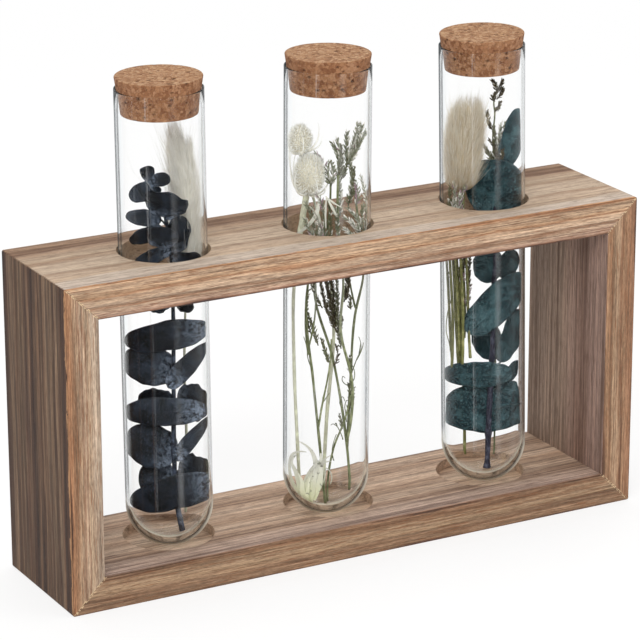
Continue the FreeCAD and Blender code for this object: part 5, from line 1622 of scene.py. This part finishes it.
def sprays(rows, seed):
    """All sprays of a list."""
    skins = []
    for number, (shares, kind, count) in enumerate(rows):
        length = DRY_BRACT if kind in DRY_KINDS else FRESH_BRACT
        skins += spray(shares, kind, count, length, seed + number)
    return skins


SEA_LAVENDER = spray_finish()
plant_piece("middle", "middle_sprig_flowers", sprays(MIDDLE_SPRAYS, 40), SEA_LAVENDER,
            ["middle_statice_tufts"])

# %% [markdown]
# ## Thin green twigs
#
# The sprays hang on thin twigs that fork and cross. Small dry tendrils curl at their sides. All of
# them are stems through a few listed places, the tendrils with a last place that turns back.

# %% Twigs of the middle tube
GREEN_STEM = stem_finish("olive_twig", (84, 88, 60), (126, 132, 96), (160, 164, 130), 0.35)
# Path in shares of the tube, thickness in millimetres, and whether it stands on the floor.
MIDDLE_TWIGS = [
    ([(0, -0.34, 0.03), (-0.12, -0.36, 0.14), (-0.3, -0.38, 0.3), (-0.48, -0.38, 0.5),
      (-0.26, -0.38, 0.618)], 1.4, True),
    ([(0.62, 0.12, 0.04), (0.52, 0.1, 0.15), (0.18, 0.12, 0.34), (-0.3, 0.16, 0.51), (0.02, 0.18, 0.64),
      (0.08, 0.16, 0.735)], 1.4, True),
    ([(0.52, 0.08, 0.16), (0.63, -0.1, 0.3), (0.34, -0.12, 0.42), (0.4, -0.12, 0.52),
      (0.26, -0.12, 0.66), (0.26, 0, 0.76)], 1.5, False),
    ([(0.53, 0.1, 0.145), (0.6, 0.34, 0.28), (0.7, 0.3, 0.44), (0.9, 0.16, 0.54), (0.72, 0.14, 0.68),
      (0.55, 0.1, 0.79)], 1.4, False),
    ([(0.06, -0.12, 0.03), (0.22, -0.12, 0.157), (0.46, -0.14, 0.215), (0.6, -0.1, 0.27)], 1.1, True),
    ([(-0.18, -0.36, 0.205), (-0.1, -0.32, 0.25), (0.08, -0.25, 0.34), (0.12, -0.2, 0.4)], 1.0, False),
    ([(0.7, 0.2, 0.46), (0.6, 0.2, 0.5), (0.48, 0.16, 0.56), (0.42, 0.12, 0.62)], 1.0, False),
    ([(-0.42, -0.38, 0.39), (-0.3, -0.3, 0.44), (-0.26, -0.2, 0.5), (-0.3, -0.2, 0.56)], 0.9, False),
    ([(-0.43, -0.38, 0.37), (-0.5, -0.32, 0.42), (-0.48, -0.25, 0.5)], 0.9, False),
]
TENDRILS = [
    [(0.62, 0.2, 0.31), (0.74, 0.12, 0.344), (0.85, 0.1, 0.372), (0.79, 0.1, 0.397)],
    [(0.74, 0.1, 0.344), (0.86, 0.1, 0.366), (0.91, 0.1, 0.384)],
    [(0.8, 0.1, 0.358), (0.84, 0.06, 0.385)],
    [(0.58, 0, 0.275), (0.54, 0, 0.288), (0.44, 0, 0.294), (0.39, 0, 0.302), (0.41, 0, 0.31),
     (0.46, 0, 0.306)],
    [(0.42, 0, 0.165), (0.34, -0.05, 0.186), (0.26, -0.05, 0.198), (0.16, -0.05, 0.202),
     (0.12, -0.05, 0.199)],
    [(0.28, -0.05, 0.195), (0.24, -0.05, 0.204), (0.22, -0.04, 0.199)],
    [(-0.13, -0.34, 0.24), (-0.09, -0.31, 0.256), (-0.02, -0.31, 0.267), (0.08, -0.31, 0.281)],
    [(-0.05, -0.31, 0.262), (-0.07, -0.31, 0.273), (-0.03, -0.31, 0.277)],
    [(-0.38, -0.36, 0.345), (-0.45, -0.22, 0.36), (-0.47, -0.2, 0.378), (-0.55, -0.18, 0.405)],
    [(0.5, 0, 0.205), (0.48, 0.02, 0.228), (0.46, 0, 0.24), (0.52, 0, 0.255), (0.6, 0, 0.25)],
    [(0.2, -0.12, 0.12), (0.16, -0.14, 0.145), (0.2, -0.12, 0.165), (0.26, -0.1, 0.18)],
    [(0.4, 0.1, 0.235), (0.34, 0.06, 0.252), (0.4, 0.04, 0.262), (0.46, 0.04, 0.252)],
    [(0.52, 0.02, 0.29), (0.66, 0, 0.3), (0.68, 0, 0.325), (0.6, 0, 0.34)],
]


def twigs(rows, seed):
    """Skins of the twigs of a list, in three tints by turns."""
    return [Stem(shares, thick * MM, 0.75, stands, seed=seed + number).rod(0.3 + 0.4 * (number % 3) / 2, 9)
            for number, (shares, thick, stands) in enumerate(rows)]


def tendrils(paths, thick, tint, seed):
    """Skins of thin curls that don't reach the floor."""
    return [Stem(shares, thick, 0.6, False, count=26, seed=seed + number).rod(tint, 6)
            for number, shares in enumerate(paths)]


middle_stalks = twigs(MIDDLE_TWIGS, 60) + tendrils(TENDRILS, 0.55 * MM, 0.1, 90)
plant_piece("middle", "middle_sprig_stalks", middle_stalks, GREEN_STEM,
            ["middle_statice_stems"])

# %% [markdown]
# ## The right tube
#
# A bunny tail stands in front on the left, a sprig behind it, and large teal gum leaves fill the
# rest. The tail is the same kind of fluffy head as the plume, denser and fuller, over a solid core
# so that no daylight shows through it.

# %% Bunny tail and stalks
TAIL_LINE = smooth_path(places((-0.53, -0.08, 0.680), (-0.50, -0.08, 0.723), (-0.46, -0.08, 0.790),
                               (-0.37, -0.07, 0.842), (-0.30, -0.06, 0.886)), 40)
TAIL_FULLNESS = [(0.0, 0.6), (0.12, 0.84), (0.3, 0.97), (0.5, 1.0), (0.68, 0.96), (0.84, 0.8),
                 (0.94, 0.58), (1.0, 0.36)]
TAIL_WIDTH, TAIL_DEPTH = 9.6 * MM, 8.8 * MM
TAIL_HAIR = hair_finish("bunny_tail_hair", (200, 170, 124), (226, 210, 180), (240, 236, 228))
tail = fluffy_head(TAIL_LINE, TAIL_FULLNESS, TAIL_WIDTH, TAIL_DEPTH, hair=12 * MM, count=5200, seed=31,
                   thick=0.10 * MM, start=0.45, flare=0.12)
tail_awns = fluffy_head(TAIL_LINE, TAIL_FULLNESS, TAIL_WIDTH, TAIL_DEPTH, hair=13 * MM, count=1100,
                        seed=32, thick=0.06 * MM, start=0.8, flare=0.32)
tail_core = head_core(TAIL_LINE, TAIL_FULLNESS, 6.0 * MM)
plant_piece("right", "right_tail_fluff", [tail, tail_awns, tail_core], TAIL_HAIR,
            ["right_bunny_tail_head"])

# %% Stalks below the tail
TAIL_STALK = Stem([(-0.46, 0.42, 0.09), (-0.46, 0.44, 0.16), (-0.52, 0.34, 0.3), (-0.54, 0.08, 0.5),
                   (-0.44, -0.05, 0.69)], 1.5 * MM, 0.8, seed=41)
MOSS_STEM = stem_finish("mossy_stalk", (84, 84, 46), (128, 128, 80), (162, 160, 112), 0.5)
# Across and away at the top, and the height of the foot.
BUNDLE = [(-0.86, 0.1, 0.3), (-0.78, -0.14, 0.27), (-0.7, 0.16, 0.24), (-0.64, -0.2, 0.31),
          (-0.46, 0.12, 0.33), (-0.38, -0.12, 0.29), (-0.6, 0.26, 0.25), (-0.52, -0.26, 0.28)]
BUNDLE_THICK = 1.45 * MM
BUNDLE_TENDRILS = [
    [(-0.77, -0.1, 0.43), (-0.89, -0.12, 0.385), (-0.91, -0.12, 0.352), (-0.84, -0.1, 0.325),
     (-0.8, -0.1, 0.29)],
    [(-0.76, 0, 0.462), (-0.84, 0, 0.486), (-0.89, 0, 0.495)],
    [(-0.8, 0, 0.475), (-0.85, 0, 0.475)],
    [(-0.6, -0.2, 0.4), (-0.66, -0.22, 0.36), (-0.6, -0.2, 0.31)]]
bundle = []
for number, (across, away, low) in enumerate(BUNDLE):
    splay = 1 + 0.10 * math.sin(2.1 * number)
    shares = [(across * 0.92 * splay, away, low), (across * 0.96, away * 0.9, 0.38),
              (across, away * 1.1, 0.46), (across * 1.02 - 0.02 * splay, away, 0.53),
              (across * splay, away, 0.60)]
    tint = 0.25 + 0.5 * (number % 4) / 3
    bundle.append(Stem(shares, BUNDLE_THICK, 0.9, False, seed=70 + number).rod(tint, 9))
bundle += tendrils(BUNDLE_TENDRILS, 0.6 * MM, 0.2, 90)
plant_piece("right", "right_tail_stalk", [TAIL_STALK.rod(0.6)], MOSS_STEM,
            ["right_bunny_tail_stem"])
plant_piece("right", "right_stalk_bundle", bundle, MOSS_STEM, ["right_stem_bundle"])

# %% Sprig of the right tube
RIGHT_TWIGS = [([(0.3, 0.5, 0.04), (0.34, 0.56, 0.2), (0.36, 0.56, 0.45), (0.4, 0.44, 0.66),
                 (0.28, 0.31, 0.79), (0.33, 0.31, 0.84), (0.3, 0.3, 0.868), (0.39, 0.28, 0.89),
                 (0.35, 0.28, 0.908)], 0.95, True),
               ([(0.4, 0.42, 0.68), (0.46, 0.24, 0.74), (0.54, 0.12, 0.8)], 0.8, False),
               ([(0.4, 0.42, 0.67), (0.3, 0.2, 0.72), (0.2, 0.02, 0.76)], 0.8, False)]
RIGHT_SPRAYS = [
    ([(0.38, 0.27, 0.888), (0.34, 0.27, 0.902), (0.26, 0.27, 0.913)], "dark", 30),
    ([(0.39, 0.27, 0.888), (0.46, 0.26, 0.9), (0.52, 0.26, 0.912)], "dark", 30),
    ([(0.37, 0.27, 0.87), (0.48, 0.26, 0.882), (0.52, 0.26, 0.895)], "dark", 30),
    ([(0.33, 0.27, 0.865), (0.3, 0.26, 0.878), (0.39, 0.26, 0.888)], "dark", 28),
    ([(0.33, 0.28, 0.842), (0.41, 0.26, 0.852), (0.45, 0.26, 0.863)], "dark", 26),
    ([(0.27, 0.33, 0.8), (0.17, 0.33, 0.822), (0.14, 0.33, 0.842)], "dark", 34),
    ([(0.28, 0.15, 0.735), (0.32, 0.15, 0.77), (0.3, 0.15, 0.81)], "olive", 60),
    ([(0.32, 0.1, 0.735), (0.48, 0.1, 0.77), (0.58, 0.1, 0.822)], "olive", 64),
    ([(0.34, 0.05, 0.735), (0.42, 0.05, 0.783), (0.46, 0.05, 0.82)], "grey", 60),
    ([(0.24, 0, 0.74), (0.11, 0, 0.763), (0.04, 0, 0.775)], "olive", 44),
    ([(0.36, -0.08, 0.735), (0.34, -0.08, 0.762), (0.18, -0.08, 0.788)], "dark", 50),
    ([(0.5, 0.05, 0.74), (0.55, 0.06, 0.77), (0.52, 0.06, 0.8)], "dark", 60),
    ([(0.42, -0.05, 0.72), (0.48, -0.05, 0.75), (0.44, -0.02, 0.785)], "dark", 60),
    ([(-0.78, -0.31, 0.63), (-0.68, -0.31, 0.67), (-0.7, -0.31, 0.7)], "white", 46),
    ([(-0.53, -0.4, 0.62), (-0.53, -0.4, 0.67), (-0.44, -0.4, 0.692)], "lilac", 46),
    ([(-0.84, -0.25, 0.62), (-0.8, -0.25, 0.67), (-0.8, -0.25, 0.694)], "olive", 46),
    ([(-0.62, -0.44, 0.6), (-0.62, -0.44, 0.64), (-0.58, -0.44, 0.675)], "grey", 50),
    ([(-0.7, -0.1, 0.5), (-0.66, -0.1, 0.53), (-0.62, -0.1, 0.58)], "dark", 70),
    ([(-0.5, -0.1, 0.49), (-0.46, -0.1, 0.53), (-0.4, -0.1, 0.58)], "dark", 80),
    ([(-0.58, -0.25, 0.48), (-0.54, -0.25, 0.51), (-0.52, -0.25, 0.55)], "olive", 60),
    ([(-0.42, -0.1, 0.41), (-0.36, -0.1, 0.44), (-0.32, -0.1, 0.46)], "lilac", 30),
    ([(-0.55, -0.2, 0.465), (-0.52, -0.2, 0.475), (-0.5, -0.2, 0.487)], "lilac", 20),
    ([(-0.36, -0.05, 0.45), (-0.34, 0, 0.49), (-0.3, 0, 0.54)], "dark", 60)]
plant_piece("right", "right_sprig_stalks", twigs(RIGHT_TWIGS, 120), GREEN_STEM,
            ["right_statice_stems"])
plant_piece("right", "right_sprig_flowers", sprays(RIGHT_SPRAYS, 140), SEA_LAVENDER,
            ["right_statice_tufts"])

# %% Right stem and leaves
RIGHT_LEAF = leaf_finish("teal_leaf", (9, 20, 24), (24, 46, 52), (78, 110, 116), (104, 128, 134), 0.35, 0.30)
PURPLE_STEM = stem_finish("purple_bark", (26, 26, 36), (54, 54, 68), (104, 106, 124), 0.7)
RIGHT_KNOTS = (0.105, 0.22, 0.28, 0.36, 0.46, 0.62)
RIGHT_GUM = Stem([(0.10, 0.02, 0.02), (0.14, 0.08, 0.12), (0.24, 0.08, 0.3), (0.30, 0.08, 0.5),
                  (0.34, 0.04, 0.66), (0.44, -0.02, 0.735)], 2.9 * MM, 0.6, count=120,
                 knots=RIGHT_KNOTS, seed=6)
# The stem swells at its foot.
RIGHT_GUM.radii[:3] = RIGHT_GUM.radii[:3] * [1.5, 1.3, 1.12]
RIGHT_LEAVES = {
    "right_upper_foliage": [
        ((0.52, 0.05, 0.718), (0.92, 0.15, 0.852), 0.62, 16, 0.04, 0.05, 0.03, 0, 0.6),
        ((0.24, 0.1, 0.612), (0.41, -0.1, 0.744), 1.54, -10, -0.06, 0.05, 0.04, -0.05, 0.6)],
    "right_lower_foliage": [
        ((0.26, 0.14, 0.459), (0.03, 0, 0.538), 0.8, 14, -0.05, 0.05, 0.03, 0, 0.45),
        ((0.5, 0.14, 0.465), (0.8, 0.1, 0.532), 0.52, -16, 0.03, 0.05, 0.03, 0, 0.35),
        ((-0.38, -0.12, 0.348), (1.04, -0.02, 0.478), 0.98, 10, -0.04, 0.04, 0.02, 0.05, 0.6),
        ((0.28, 0.36, 0.27), (-0.02, 0.32, 0.366), 0.78, -12, 0.02, 0.02, 0.03, 0, 0.35),
        ((0.46, 0.22, 0.268), (0.92, 0.18, 0.393), 0.62, 20, 0.04, 0.05, 0.03, 0, 0.3),
        ((0.74, -0.06, 0.249), (-1.02, -0.12, 0.255), 0.72, -8, -0.04, 0.05, 0.03, 0.05, 0.6),
        ((1.4, 0.26, 0.172), (-1.06, 0.18, 0.156), 1.32, 8, -0.02, 0, 0.03, 0, 0.6),
        ((0.44, 0.27, 0.212), (0.95, 0.3, 0.268), 0.38, 18, 0.04, 0.02, 0.03, 0, 0.25),
        ((0.3, 0.36, 0.122), (0.8, 0.3, 0.2), 0.6, -16, 0.04, 0.05, 0.03, 0, 0.25)],
}
plant_piece("right", "right_gum_stem", [RIGHT_GUM.rod()], PURPLE_STEM, ["right_eucalyptus_stem"])
foliage("right", RIGHT_GUM, RIGHT_LEAVES, RIGHT_LEAF)

# %% [markdown]
# ## Dowels
#
# Two round pins cross each mitred corner, hidden in the wood. They show only when the boards are
# taken apart, but they are real pieces, so they get a plain straight-grained wood.

# %% Dowel wood
BEECH = [(0.0, (164, 122, 84)), (1.0, (206, 170, 128))]


def dowel_finish():
    """Pale straight grain."""
    beech = Finish("dowel_beech")
    fibre = beech.noise(beech.stretch(beech.coordinates(), (1, 1, 0.15)), 1800.0, 3.0, 0.6)
    colour = beech.ramp(beech.remap(fibre, 0.3, 0.7), BEECH)
    normal = beech.bump(fibre, 0.1 * MM, 0.6)
    return beech.done(beech.surface(Base_Color=colour, Roughness=0.7, Normal=normal))


frame["nodes"]["mitre_dowels"].data.materials.clear()
frame["nodes"]["mitre_dowels"].data.materials.append(dowel_finish())
print("beech on the dowels")
